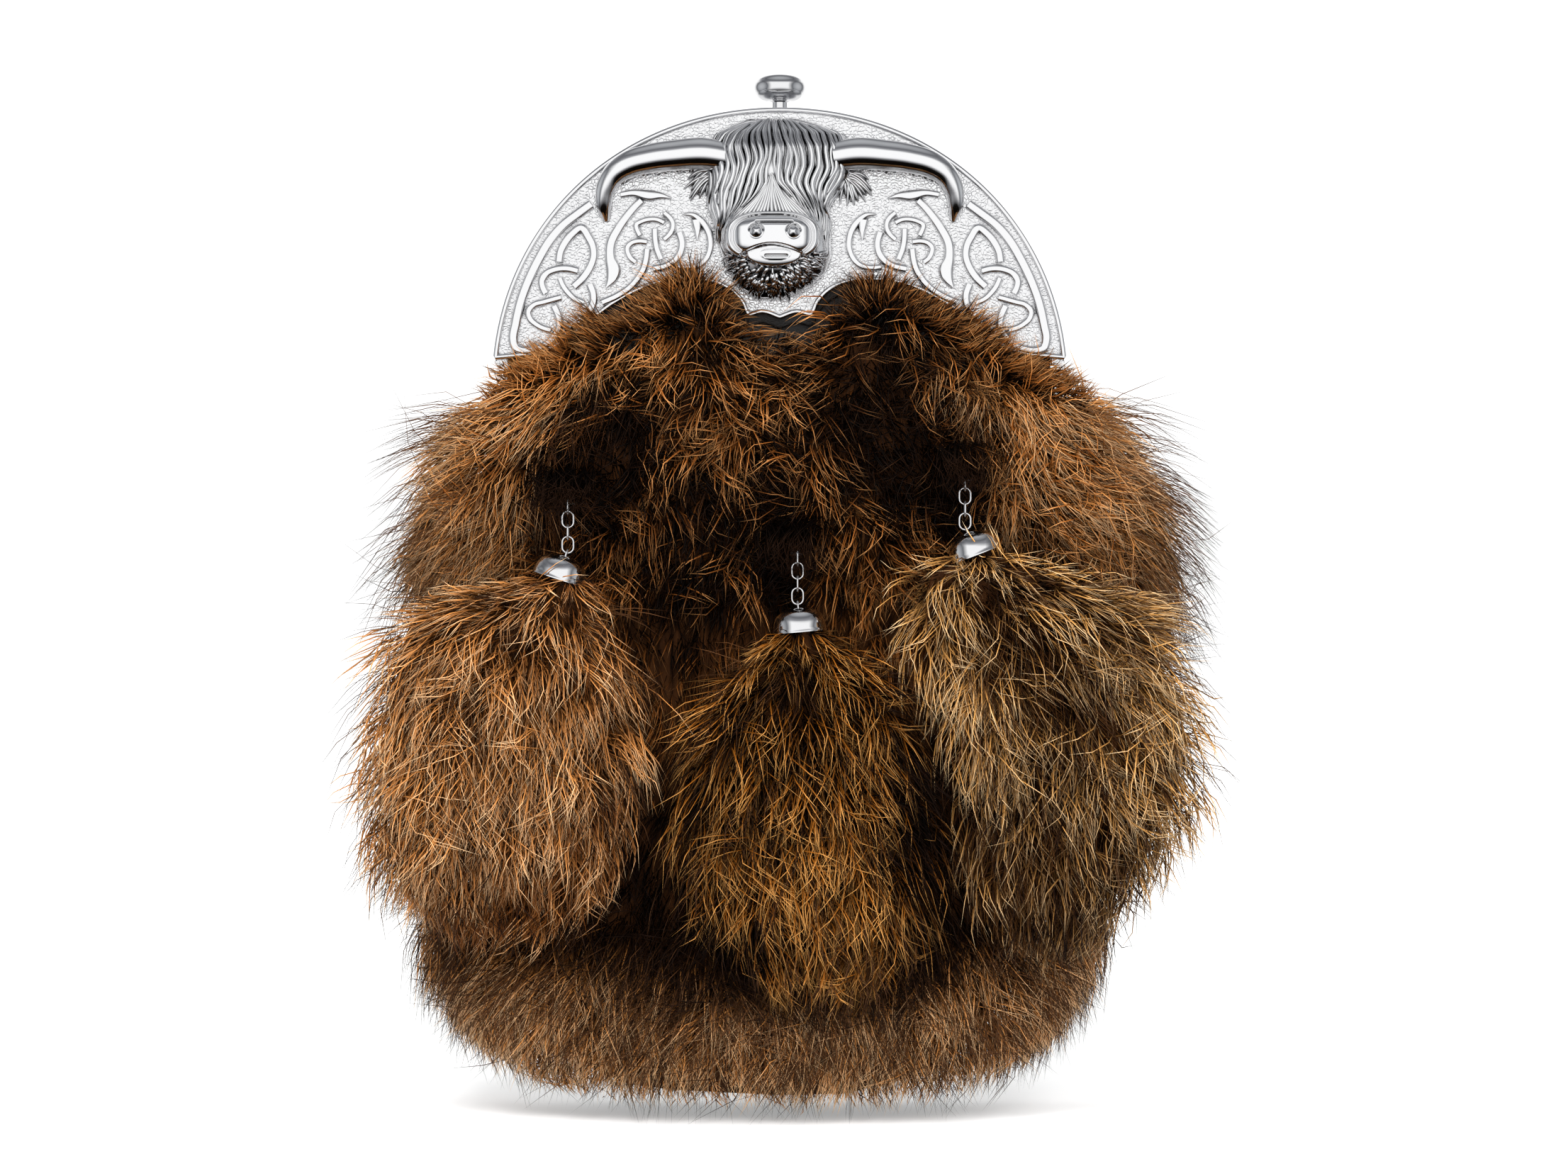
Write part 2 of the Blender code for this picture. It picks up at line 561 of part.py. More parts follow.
def build_bag(leather):
    rings = [bag_ring(level, inside=False) for level in BAG_LEVELS]
    rings += [bag_ring(level, inside=True) for level in reversed(BAG_LEVELS)]
    add_object("pouch_shell", *loft(rings), leather)
    y0 = BAG_BACK_Y + GAP
    foot_low, slot_low, slot_high, foot_high = LOOP_FEET_Z
    inner_y, outer_y = y0 + LOOP_DEPTH, y0 + LOOP_DEPTH + LOOP_STRIP
    foot_y = y0 + LOOP_STRIP
    foot_bend, outer_bend, inner_bend = LOOP_BENDS
    side_view = ((y0, foot_low), (foot_y, foot_low), (foot_y, slot_low - foot_bend),
                 (outer_y, slot_low + outer_bend), (outer_y, slot_high - outer_bend),
                 (foot_y, slot_high + foot_bend), (foot_y, foot_high), (y0, foot_high), (y0, slot_high),
                 (inner_y, slot_high - inner_bend), (inner_y, slot_low + inner_bend), (y0, slot_low))
    for side, name in ((-1, "left"), (1, "right")):
        rings = [[(side * LOOP_CENTRE_X + half, y, z) for y, z in side_view]
                 for half in (-LOOP_WIDTH / 2.0, LOOP_WIDTH / 2.0)]
        add_object(f"belt_loop_{name}", *loft(rings), leather)


# ---------------------------------------------------------------- fur over the bag

# the fur's outline by height: height, reach to the left, reach to the right, reach to the front
FUR_ROWS = (
    (0.0, 55.0, 47.0, 28.0), (6.0, 64.0, 56.0, 32.5), (16.0, 76.0, 70.0, 35.5), (30.0, 87.0, 78.0, 32.0),
    (45.0, 94.0, 85.0, 26.0), (62.0, 96.0, 91.0, 22.0), (100.0, 94.0, 98.0, 22.0), (130.0, 94.0, 103.0, 22.0),
    (146.0, 99.0, 104.0, 25.0), (160.0, 95.0, 101.0, 29.0), (174.0, 92.0, 94.0, 31.0),
    (188.0, 80.0, 84.0, 30.0), (196.0, 75.0, 76.0, 28.5), (220.0, 72.0, 73.0, 24.0),
)
# where the fur ends at the top, over the plate's lower edge: x, height
FUR_TOP = (
    (-80.0, 190.0), (-66.0, 190.5), (-58.0, 195.0), (-50.0, 203.0), (-38.0, 208.0), (-30.0, 213.5), (-24.0, 218.0),
    (-18.0, 214.0), (-12.0, 206.0), (-6.0, 202.0), (8.0, 202.0), (14.0, 206.0), (20.0, 213.0), (28.0, 217.0),
    (38.0, 211.0), (50.0, 204.0), (58.0, 195.0), (66.0, 190.5), (80.0, 190.0),
)
FUR_COLUMNS = 33
SECTION_POWER_X = 0.65        # powers of sine and cosine: under 1 the section has full, rounded corners
SECTION_POWER_Y = 0.5
FUR_BACK_Y = 10.6
FUR_BAG_GAP = 0.9
FUR_PLATE_GAP_Y = -18.9       # fur in front of the plate stays proud of the knotwork
PLATE_CLEAR_Z = 190.0
SHELF_Z = BAG_BOTTOM_Z - GAP
# tiers of locks: share of the way down at which each tier ends, length of its tips, how far they stand out
FUR_TIERS = ((0.17, 4.0, 3.0), (0.33, 5.0, 3.5), (0.49, 5.0, 3.0), (0.65, 5.0, 3.0), (0.8, 5.0, 3.5),
             (0.92, 4.0, 2.5))
TUCK = 3.4                    # each tier starts this far under the tips of the one above
FLOOR_TIP = 3.0               # every other lock ends this far above the floor
BASE_SHARE = 0.8              # width of the fur's back under the bag, as a share of its width at the floor


def fur_outer(angle, z, outward):
    """Outer face of the fur: a rounded front from back edge to back edge, angle -90 to 90 degrees."""
    reach = read_table(FUR_ROWS, 1 if angle < 0 else 2, z) + outward
    front = read_table(FUR_ROWS, 3, z) + outward
    x = reach * math.copysign(abs(math.sin(angle)) ** SECTION_POWER_X, angle)
    y = FUR_BACK_Y - (front + FUR_BACK_Y) * max(math.cos(angle), 0.0) ** SECTION_POWER_Y
    return x, y, z


def fur_inner(share, z):
    """Face of the fur against the bag: up one side, over the front and back along the other."""
    half = read_table(BAG_ROWS, 1, z)
    corner = 0.74
    if abs(share) < corner:
        x = share / corner * half * 0.97
        return x, bag_front(x, z, FUR_BAG_GAP), z
    along = (abs(share) - corner) / (1.0 - corner)
    front = read_table(BAG_ROWS, 2, z) - FUR_BAG_GAP
    y = front + (FUR_BACK_Y - front) * along
    return math.copysign(half + FUR_BAG_GAP, share), y, z


def fur_column(index):
    """One closed upright slice of the fur, from its top edge down the front and back up along the bag."""
    share = -1.0 + 2.0 * index / (FUR_COLUMNS - 1)
    angle = share * math.pi / 2.0
    tip = index % 2 == 1
    top_x = fur_outer(angle, 200.0, 0.0)[0]
    top_z = float(np.interp(top_x, *np.asarray(FUR_TOP).T))
    points = [fur_outer(angle, top_z, -0.5)]
    for down, length, proud in FUR_TIERS:
        z = top_z * (1.0 - down) + (-0.5 if tip else 0.5) * length
        flare = proud if tip else proud * 0.2
        points.append(fur_outer(angle, z, flare))
        points.append(fur_outer(angle, z + 0.8, -TUCK * 0.5))
    lowest = 0.0 if tip else FLOOR_TIP
    points.append(fur_outer(angle, lowest, 1.0 if tip else -1.0))
    base_x = fur_outer(angle, 0.0, 0.0)[0] * BASE_SHARE
    shelf_x, shelf_y, _ = fur_inner(share, BAG_BOTTOM_Z)
    points += [(base_x, FUR_BACK_Y, lowest), (base_x, FUR_BACK_Y, SHELF_Z), (shelf_x, shelf_y, SHELF_Z)]
    for z in (19.0, 34.0, 70.0, 110.0, 150.0, 176.0):
        points.append(fur_inner(share, z))
    clear_z = min(PLATE_CLEAR_Z, top_z - 4.0)
    x, y, _ = fur_inner(share, clear_z)
    if top_z > CANTLE_CORNER_Z:
        y = FUR_PLATE_GAP_Y
    points += [(x, y, clear_z), (x, y, top_z - 0.6)]
    return points


def build_fur(fur):
    body = add_object("body_fur", *loft([fur_column(index) for index in range(FUR_COLUMNS)]), fur)
    slots = []
    for name, (x, _, z, _) in DROPS.items():
        half_width, half_height = STAPLE_HALF + STAPLE_WIRE + GAP, STAPLE_WIRE + GAP
        hole = box((x - half_width, -70.0, z - half_height), (x + half_width, 0.0, z + half_height))
        slots.append(add_object(f"staple_slot_{name}", *hole, fur))
    combine(body, "DIFFERENCE", slots)


# ---------------------------------------------------------------- chains, bells and tassels

# each drop's staple: x, y and z of its cross wire, then how far the bell and tassel lean to the right, degrees
DROPS = {
    "left": (-54.4, -36.5, 159.8, -18.0),
    "centre": (4.6, -37.0, 146.6, 5.0),
    "right": (47.6, -36.5, 165.8, 21.0),
}
STAPLE_HALF = 1.5
STAPLE_FOOT_GAP = 0.35
LINK_END = LINK_LENGTH / 2.0 - LINK_WIRE
WIRE_REST = 2.0 * LINK_WIRE + 0.25       # between the centres of two wires that hang on each other
FIRST_REST = LINK_WIRE + STAPLE_WIRE + 0.25
LINK_PITCH = 2.0 * LINK_END - WIRE_REST
LINK_SEGMENTS = 10
BAIL_HEIGHT = 1.9
BAIL_HALF = 1.25
BAIL_ROOT = 0.5               # how far the bail's legs go into the dome
BELL_HEIGHT = 6.2
# the bell's outside and inside from the apex down: share of the radius, share of the height
DOME_ROWS = ((0.18, 0.0), (0.6, 0.12), (0.88, 0.4), (1.0, 0.8), (1.0, 1.0))


def link_mesh():
    """A long oval link in the XZ plane: two half circles and straight sides."""
    radius = LINK_WIDTH / 2.0 - LINK_WIRE
    straight = LINK_END - radius
    points = []
    half = LINK_SEGMENTS // 2
    for end in (1, -1):
        for step in range(half):
            angle = math.pi * step / (half - 1)
            points.append((end * radius * math.cos(angle), 0.0, end * (straight + radius * math.sin(angle))))
    return wire(points, LINK_WIRE, 5, closed=True)


def bell_shape():
    """The dome's wall, with its bail's cross wire at the origin."""
    apex = -BAIL_HEIGHT
    inner_radius = BELL_RADIUS - BELL_WALL
    outside = [(BELL_RADIUS * r, apex - BELL_HEIGHT * h) for r, h in DOME_ROWS]
    inside = [(inner_radius * r, apex - BELL_WALL - (BELL_HEIGHT - BELL_WALL) * h) for r, h in DOME_ROWS]
    return turned(outside + inside[::-1], BELL_SIDES)


# tassels by height below the bail: distance down, sideways shift, half width, half depth
TASSEL_ROWS = {
    "left": ((3.6, 0.0, 2.2, 2.2), (5.4, 0.0, 4.4, 4.4), (8.6, 0.0, 5.2, 5.2), (12.0, -7.0, 18.0, 8.0),
             (20.0, -13.0, 32.5, 11.0), (38.0, -14.0, 35.5, 14.0), (60.0, -14.5, 36.0, 14.5),
             (80.0, -16.0, 33.0, 13.0), (97.0, -13.0, 15.0, 6.0)),
    "centre": ((3.6, 0.0, 2.2, 2.2), (5.4, 0.0, 4.4, 4.4), (8.6, 0.0, 5.2, 5.2), (13.0, 0.5, 14.0, 8.0),
               (24.0, 0.5, 26.0, 12.0), (42.0, 0.5, 33.0, 14.5), (60.0, 2.0, 34.5, 15.0),
               (80.0, 5.0, 32.0, 13.0), (98.0, 4.5, 14.0, 6.0)),
    "right": ((3.6, 0.0, 2.2, 2.2), (5.4, 0.0, 4.4, 4.4), (8.6, 0.0, 5.2, 5.2), (13.0, 3.0, 20.0, 8.0),
              (24.0, 13.5, 34.0, 12.0), (45.0, 23.0, 35.5, 14.5), (68.0, 26.0, 32.5, 14.5),
              (90.0, 20.5, 24.5, 12.0), (107.0, 17.0, 11.0, 6.0)),
}
TASSEL_TIERS = ((0.3, 4.0, 2.0), (0.52, 5.0, 2.0), (0.76, 5.0, 2.0))
TASSEL_COLUMNS = 16
TASSEL_NECK_ROWS = 3          # rows that stay round inside the bell
TASSEL_BACK_SHARE = 0.5      # the back is pressed flatter against the body


def tassel_shape(name):
    """A pear of three tiers of locks under a round neck; the neck leans with the bell, the fur hangs."""
    rows = np.asarray(TASSEL_ROWS[name], float)
    lean = math.radians(DROPS[name][3])
    top, bottom = rows[TASSEL_NECK_ROWS - 1, 0], rows[-1, 0]
    turn = np.arange(TASSEL_COLUMNS) * math.tau / TASSEL_COLUMNS

    def ring(down, outward, length):
        tip = np.where(np.arange(TASSEL_COLUMNS) % 2 == 1, 1.0, -1.0)
        depth = np.where(down + tip * length / 2.0 > bottom, bottom, down + tip * length / 2.0)
        shift, width, thick = (np.interp(depth, rows[:, 0], rows[:, part]) for part in (1, 2, 3))
        spread = np.where(tip > 0, outward, min(outward, 0.0))
        x = shift + (width + spread) * np.cos(turn)
        sine = np.sin(turn)
        y = np.where(sine > 0, TASSEL_BACK_SHARE, 1.0) * (thick + spread) * sine
        return np.stack([x, y, -depth], axis=1)

    rings = []
    for down, _, radius, _ in rows[:TASSEL_NECK_ROWS]:
        flat = np.stack([radius * np.cos(turn), radius * np.sin(turn), np.full(TASSEL_COLUMNS, -down)], axis=1)
        tilted = flat.copy()
        tilted[:, 0] = flat[:, 0] * math.cos(lean) - flat[:, 2] * math.sin(lean)
        tilted[:, 2] = flat[:, 0] * math.sin(lean) + flat[:, 2] * math.cos(lean)
        rings.append(tilted)
    neck_shift = top * math.sin(lean)
    first = ring(rows[TASSEL_NECK_ROWS, 0], 0.0, 0.0)
    rings.append(first + (neck_shift, 0.0, 0.0))
    for share, length, proud in TASSEL_TIERS:
        down = top + (bottom - top) * share
        rings.append(ring(down, proud, length) + (neck_shift, 0.0, 0.0))
        rings.append(ring(down - 0.8, -2.0, length) + (neck_shift, 0.0, 0.0))
    rings.append(ring(bottom - 6.0, 0.0, 12.0) + (neck_shift, 0.0, 0.0))
    return loft(rings)


def build_drops(metal, fur):
    shared_link = None
    for name, (x, y, z, lean) in DROPS.items():
        hook = bpy.data.objects.new(f"drop_{name}", None)
        hook.location = (x * MM, y * MM, z * MM)
        bpy.context.scene.collection.objects.link(hook)
        foot = bag_front(x, z, STAPLE_FOOT_GAP) - y
        corner = STAPLE_HALF * 0.45
        path = ((-STAPLE_HALF, foot, 0.0), (-STAPLE_HALF, corner, 0.0), (-corner, 0.0, 0.0),
                (corner, 0.0, 0.0), (STAPLE_HALF, corner, 0.0), (STAPLE_HALF, foot, 0.0))
        staple = add_object(f"staple_{name}", *wire(path, STAPLE_WIRE, 6), metal)
        staple.parent = hook
        for number in range(LINKS_PER_CHAIN):
            label = f"link_{name}_{number + 1}"
            if shared_link is None:
                link = add_object(label, *link_mesh(), metal)
                shared_link = link.data
            else:
                link = bpy.data.objects.new(label, shared_link)
                bpy.context.scene.collection.objects.link(link)
            centre = FIRST_REST - LINK_END - number * LINK_PITCH
            link.location = (0.0, 0.0, centre * MM)
            link.rotation_euler = (0.0, 0.0, 0.0 if number % 2 else math.pi / 2.0)
            link.parent = hook
        last_end = FIRST_REST - 2.0 * LINK_END - (LINKS_PER_CHAIN - 1) * LINK_PITCH
        bail_z = last_end + WIRE_REST
        bell = add_object(f"bell_{name}", *bell_shape(), metal)
        rise = [(0.0, BAIL_HALF * math.cos(a), BAIL_HALF * math.sin(a) - BAIL_HALF)
                for a in np.linspace(0.0, math.pi, 6)]
        root_z = -BAIL_HEIGHT - BAIL_ROOT
        legs = [(0.0, BAIL_HALF, root_z)] + rise + [(0.0, -BAIL_HALF, root_z)]
        bail = add_object(f"bail_{name}", *wire(legs, LINK_WIRE, 5), metal)
        combine(bell, "UNION", [bail])
        for item in (bell, bail):
            item.location = (0.0, 0.0, bail_z * MM)
            item.rotation_euler = (0.0, -math.radians(lean), 0.0)
            item.parent = hook
        tassel = add_object(f"tassel_{name}", *tassel_shape(name), fur)
        tassel.location = (0.0, 0.0, bail_z * MM)
        tassel.parent = hook


def centre_on_origin():
    """Move everything together, so that the model's box is centred on X = 0 and Y = 0 with its base on Z = 0."""
    bpy.context.view_layer.update()
    corners = [item.matrix_world @ Vector(corner) for item in bpy.data.objects
               if item.type == "MESH" and not item.hide_render for corner in item.bound_box]
    low, high = np.min(corners, axis=0), np.max(corners, axis=0)
    offset = Vector(((low[0] + high[0]) / 2.0, (low[1] + high[1]) / 2.0, low[2]))
    for item in bpy.data.objects:
        if item.parent is None:
            item.location -= offset


def build():
    clear_scene()
    metal = make_material("chromed_metal", (0.78, 0.79, 0.8), 1.0, 0.08)
    leather = make_material("black_leather", (0.02, 0.017, 0.015), 0.0, 0.45)
    fur = make_material("brown_fur", (0.24, 0.13, 0.06), 0.0, 0.8)
    build_cantle(metal)
    build_backing(leather)
    build_frame(metal)
    build_bag(leather)
    build_fur(fur)
    build_drops(metal, fur)
    centre_on_origin()


build()
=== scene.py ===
"""Looks of a full-dress fur sporran: cast cantle, leather bag, long fur, and three tassels under bells.

Lengths are millimetres until shown() turns them into metres. X runs from the cantle's centre line, -Y is the
front, and Z is the height over the floor. The sections follow the order in which the pouch is put together.
"""
import math

import bpy
import numpy as np
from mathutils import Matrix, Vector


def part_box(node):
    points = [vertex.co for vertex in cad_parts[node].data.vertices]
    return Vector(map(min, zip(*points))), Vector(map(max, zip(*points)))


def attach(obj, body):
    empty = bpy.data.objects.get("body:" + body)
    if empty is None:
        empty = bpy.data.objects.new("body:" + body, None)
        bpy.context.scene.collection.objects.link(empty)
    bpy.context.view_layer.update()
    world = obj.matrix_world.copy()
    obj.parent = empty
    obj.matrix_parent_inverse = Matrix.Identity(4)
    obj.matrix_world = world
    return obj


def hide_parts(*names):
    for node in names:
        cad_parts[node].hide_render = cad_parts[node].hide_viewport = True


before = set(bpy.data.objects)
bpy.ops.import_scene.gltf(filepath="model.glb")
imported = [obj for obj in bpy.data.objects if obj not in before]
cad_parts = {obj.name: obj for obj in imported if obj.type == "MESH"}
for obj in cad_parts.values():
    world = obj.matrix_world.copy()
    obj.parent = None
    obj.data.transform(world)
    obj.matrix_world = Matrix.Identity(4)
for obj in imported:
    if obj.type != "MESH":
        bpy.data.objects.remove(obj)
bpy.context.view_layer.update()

# ---------------------------------------------------------------- studio: camera, floor and light
# A white sweep in a product studio. The lens stands a metre away, level with the middle of the pouch. Soft
# light comes from all round above the floor, and dark cloth below gives polished metal its blacks.

MM = 0.001
PHOTO_WIDTH, PHOTO_HEIGHT = 2212, 1659   # pixels
PIXEL_MM = 0.1857                        # one pixel of the photograph in the cantle's plane
CENTRE_PIXEL_X = 1100                    # the cantle's centre line
FLOOR_PIXEL_Y = 1572                     # where the fur meets the floor
SENSOR_MM = 36.0
LENS_DISTANCE = 1000.0                   # from the lens to the cantle's front
PLATE_FRONT_Y = -17.0
PLATE_BACK_Y = -15.2
FLOOR_RADIUS = 6000.0
FLOOR_SIDES = 64
SCENE = bpy.context.scene

plate_low, plate_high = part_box("cantle_plate")
SHIFT = np.array(((plate_low.x + plate_high.x) / 2.0, plate_high.y - PLATE_BACK_Y * MM, 0.0))


def shown(points):
    """Places in millimetres as metres in the frame: each place times 0.001, plus the shift of the cantle."""
    return np.asarray(points, float) * MM + SHIFT


def linear(code):
    """An sRGB hex colour as linear light: c / 12.92 up to 0.04045, else ((c + 0.055) / 1.055) to the 2.4."""
    share = np.array([int(code[at:at + 2], 16) for at in (1, 3, 5)]) / 255.0
    light = np.where(share <= 0.04045, share / 12.92, ((share + 0.055) / 1.055) ** 2.4)
    return (*light.tolist(), 1.0)


def add_node(tree, kind, settings=None, links=None):
    """One node: settings name its properties, inputs or colour stops, and links name what feeds it."""
    node = tree.nodes.new(kind)
    for name, value in (settings or {}).items():
        if name == "stops":
            (first, first_colour), *between, (last, last_colour) = value
            ends = node.color_ramp.elements
            ends[0].position, ends[0].color = first, linear(first_colour)
            ends[1].position, ends[1].color = last, linear(last_colour)
            for place, colour in between:
                ends.new(place).color = linear(colour)
        elif isinstance(name, str) and hasattr(node, name):
            setattr(node, name, value)
        else:
            node.inputs[name].default_value = value
    for name, source in (links or {}).items():
        tree.links.new(source, node.inputs[name])
    return node


lens = bpy.data.cameras.new("lens")
lens.sensor_width = SENSOR_MM
lens.lens = SENSOR_MM * LENS_DISTANCE / (PHOTO_WIDTH * PIXEL_MM)
lens.clip_end = 30.0
camera = bpy.data.objects.new("camera", lens)
camera.location = shown(((PHOTO_WIDTH / 2.0 - CENTRE_PIXEL_X) * PIXEL_MM, PLATE_FRONT_Y - LENS_DISTANCE,
                         (FLOOR_PIXEL_Y - PHOTO_HEIGHT / 2.0) * PIXEL_MM))
camera.rotation_euler = (math.pi / 2.0, 0.0, 0.0)
SCENE.collection.objects.link(camera)
SCENE.camera = camera
SCENE.view_settings.view_transform = "Standard"

paper = bpy.data.materials.new("white_paper_sweep")
paper.use_nodes = True
tree = paper.node_tree
place = add_node(tree, "ShaderNodeTexCoord")
reach = add_node(tree, "ShaderNodeVectorMath", {"operation": "LENGTH"}, {"Vector": place.outputs["Object"]})
share = add_node(tree, "ShaderNodeMapRange", {"From Min": 0.35, "From Max": 1.1},
                 {"Value": reach.outputs["Value"]})
# the sheet is painted greyer in the middle, a painted shade that offsets the strongest light there, so that
# the pouch's soft shadow shows on it
middle_shade = add_node(tree, "ShaderNodeValToRGB", {"stops": ((0.0, "#D4D4D4"), (1.0, "#F7F7F7"))},
                {"Fac": share.outputs[0]})
shader = tree.nodes["Principled BSDF"]
tree.links.new(middle_shade.outputs["Color"], shader.inputs["Base Color"])
shader.inputs["Roughness"].default_value = 1.0
shader.inputs["Specular IOR Level"].default_value = 0.0
shader.inputs["Emission Color"].default_value = linear("#FFFFFF")
shader.inputs["Emission Strength"].default_value = 0.3   # the sheet glows a little by itself, painted light that keeps the shadow pale
turn = np.arange(FLOOR_SIDES) * math.tau / FLOOR_SIDES
disc = np.stack([FLOOR_RADIUS * np.cos(turn), FLOOR_RADIUS * np.sin(turn), np.zeros(FLOOR_SIDES)], axis=1)
sweep_mesh = bpy.data.meshes.new("paper_sweep")
sweep_mesh.from_pydata(shown(disc).tolist(), [], [tuple(range(FLOOR_SIDES))])
sweep_mesh.materials.append(paper)
sweep = bpy.data.objects.new("paper_sweep", sweep_mesh)
sweep.visible_glossy = False             # metal mirrors the dark cloth below, which the room light stands for
SCENE.collection.objects.link(sweep)

# light on matt surfaces, from straight down (0) over the horizon (0.5) to straight up (1)
SKY_STOPS = ((0.0, "#2A2622"), (0.47, "#4A4744"), (0.56, "#9C9C9C"), (0.76, "#FFFFFF"), (1.0, "#FFFFFF"))
# the room as polished metal mirrors it: dark cloth, white screens all round, a grey ceiling
ROOM_STOPS = ((0.0, "#050403"), (0.15, "#0B0806"), (0.22, "#828284"), (0.29, "#E0E0E1"), (0.37, "#F5F5F5"),
              (0.74, "#F5F5F5"), (0.82, "#8C8D91"), (0.91, "#5C5D61"), (1.0, "#A5A7AA"))
# the screens' fall-off towards both sides, by the sideways part of the direction
SIDE_STOPS = ((0.0, "#FFFFFF"), (0.6, "#FFFFFF"), (0.84, "#6A6C70"), (1.0, "#B9BBBE"))
world = bpy.data.worlds.new("studio_room")
world.use_nodes = True
room = world.node_tree
direction = add_node(room, "ShaderNodeTexCoord")
axes = add_node(room, "ShaderNodeSeparateXYZ", links={"Vector": direction.outputs["Generated"]})
rise = add_node(room, "ShaderNodeMapRange", {"From Min": -1.0}, {"Value": axes.outputs["Z"]})
aside = add_node(room, "ShaderNodeMath", {"operation": "ABSOLUTE"}, {0: axes.outputs["X"]})
sky = add_node(room, "ShaderNodeValToRGB", {"stops": SKY_STOPS}, {"Fac": rise.outputs[0]})
screens = add_node(room, "ShaderNodeValToRGB", {"stops": ROOM_STOPS}, {"Fac": rise.outputs[0]})
fall_off = add_node(room, "ShaderNodeValToRGB", {"stops": SIDE_STOPS}, {"Fac": aside.outputs[0]})
mirrored = add_node(room, "ShaderNodeMix", {"data_type": "RGBA", "blend_type": "MULTIPLY", 0: 1.0},
                    {6: screens.outputs["Color"], 7: fall_off.outputs["Color"]})
rays = add_node(room, "ShaderNodeLightPath")
lit = add_node(room, "ShaderNodeMix", {"data_type": "RGBA"},
               {0: rays.outputs["Is Glossy Ray"], 6: sky.outputs["Color"], 7: mirrored.outputs[2]})
seen = add_node(room, "ShaderNodeMix", {"data_type": "RGBA", 7: (1.0, 1.0, 1.0, 1.0)},
                {0: rays.outputs["Is Camera Ray"], 6: lit.outputs[2]})
room.links.new(seen.outputs[2], room.nodes["Background"].inputs["Color"])
room.nodes["Background"].inputs["Strength"].default_value = 1.2
SCENE.world = world

# each soft box: place and aim in metres, side in metres, watts
SOFT_BOXES = {
    "key_upper_left": ((-0.45, -1.0, 1.3), (0.0, 0.0, 0.14), 0.5, 20.0),
    "fill_right": ((0.5, -1.1, 1.0), (0.0, 0.0, 0.14), 0.5, 12.0),
    "low_front": ((0.1, -1.3, 0.2), (0.0, 0.0, 0.0), 0.5, 6.0),
}
for name, (place, aim, side, watts) in SOFT_BOXES.items():
    light = bpy.data.lights.new(name, "AREA")
    light.size = side
    light.energy = watts
    soft_box = bpy.data.objects.new(name, light)
    ahead = np.subtract(aim, place)
    soft_box.location = place
    soft_box.rotation_euler = (math.atan2(math.hypot(ahead[0], ahead[1]), -ahead[2]), 0.0,
                               math.atan2(-ahead[0], ahead[1]))
    soft_box.visible_glossy = False
    SCENE.collection.objects.link(soft_box)

# ---------------------------------------------------------------- leather bag and belt loops
# A flat bag of black cowhide, 2 mm thick, box-stitched round the back panel and open along the frame's arch.
# Two loops of the same hide are sewn to the back with waxed thread, for the belt or chain strap.

WALL = 2.0
BAG_BACK_Y = 12.0
BAG_BOTTOM_Z = 14.0
ARCH_HALF_WIDTH, ARCH_HEIGHT, ARCH_Z, ARCH_POWER = 75.5, 73.5, 190.3, 2.06
# bag by height: height, half width, front at the sides, bulge of the front's middle
BAG_ROWS = np.array((
    (14.0, 44.0, -7.0, 1.0), (19.0, 52.0, -9.0, 1.5), (34.0, 62.0, -11.0, 2.0),
    (70.0, 71.0, -12.0, 3.0), (110.0, 75.0, -12.2, 3.5), (150.0, 74.5, -12.4, 3.0),
    (180.0, 73.0, -12.6, 1.5), (195.0, 71.6, -12.8, 0.0), (270.0, 71.6, -12.8, 0.0),
))
MOUTH_HALF_WIDTH = 71.6
MOUTH_INSETS = (2.7, 1.0)                # of the front's and the back's top edges inside the arch
GUSSET_TOP_Z = 194.0
LOOP_CENTRE_X = 38.0
STITCH_PITCH, STITCH_LENGTH, STITCH_RADIUS = 3.6, 2.6, 0.32
FRONTWARDS, BACKWARDS = (0.0, -1.0, 0.0), (0.0, 1.0, 0.0)


def unit(vectors):
    """Vectors of length 1 in the same directions."""
    return vectors / np.maximum(np.linalg.norm(vectors, axis=-1, keepdims=True), 1e-9)


def soft_noise(x, z, seed, cells=64):
    """A smooth random field from 0 to 1: random values at whole numbers, blended by 3t^2 - 2t^3.

    It repeats after its number of cells.
    """
    table = np.random.default_rng(seed).random((cells, cells))
    x, z = np.broadcast_arrays(x, z)
    column, row = np.floor(x).astype(int), np.floor(z).astype(int)
    across, up = x - column, z - row
    across, up = across ** 2 * (3.0 - 2.0 * across), up ** 2 * (3.0 - 2.0 * up)
    left, right = column % cells, (column + 1) % cells
    low, high = (table[left, line % cells] * (1.0 - across) + table[right, line % cells] * across
                 for line in (row, row + 1))
    return low * (1.0 - up) + high * up


def grid_faces(rows, columns, closed=False):
    """Four-sided faces of a grid of points laid row by row; closed joins the last column to the first."""
    last = columns if closed else columns - 1
    row, column = np.meshgrid(np.arange(rows - 1), np.arange(last), indexing="ij")
    beside = (column + 1) % columns
    low, high = row * columns, (row + 1) * columns
    return np.stack([low + column, low + beside, high + beside, high + column], axis=-1).reshape(-1, 4)


def looped_faces(rows, columns, closed=False):
    """The same faces, with the last row joined to the first as well."""
    return grid_faces(rows + 1, columns, closed) % (rows * columns)


def tube_faces(rows, columns):
    """Faces of rings joined into a tube, with one flat face at each end."""
    ends = np.arange(columns)
    return [grid_faces(rows, columns, closed=True), ends[None, ::-1], (ends + (rows - 1) * columns)[None, :]]


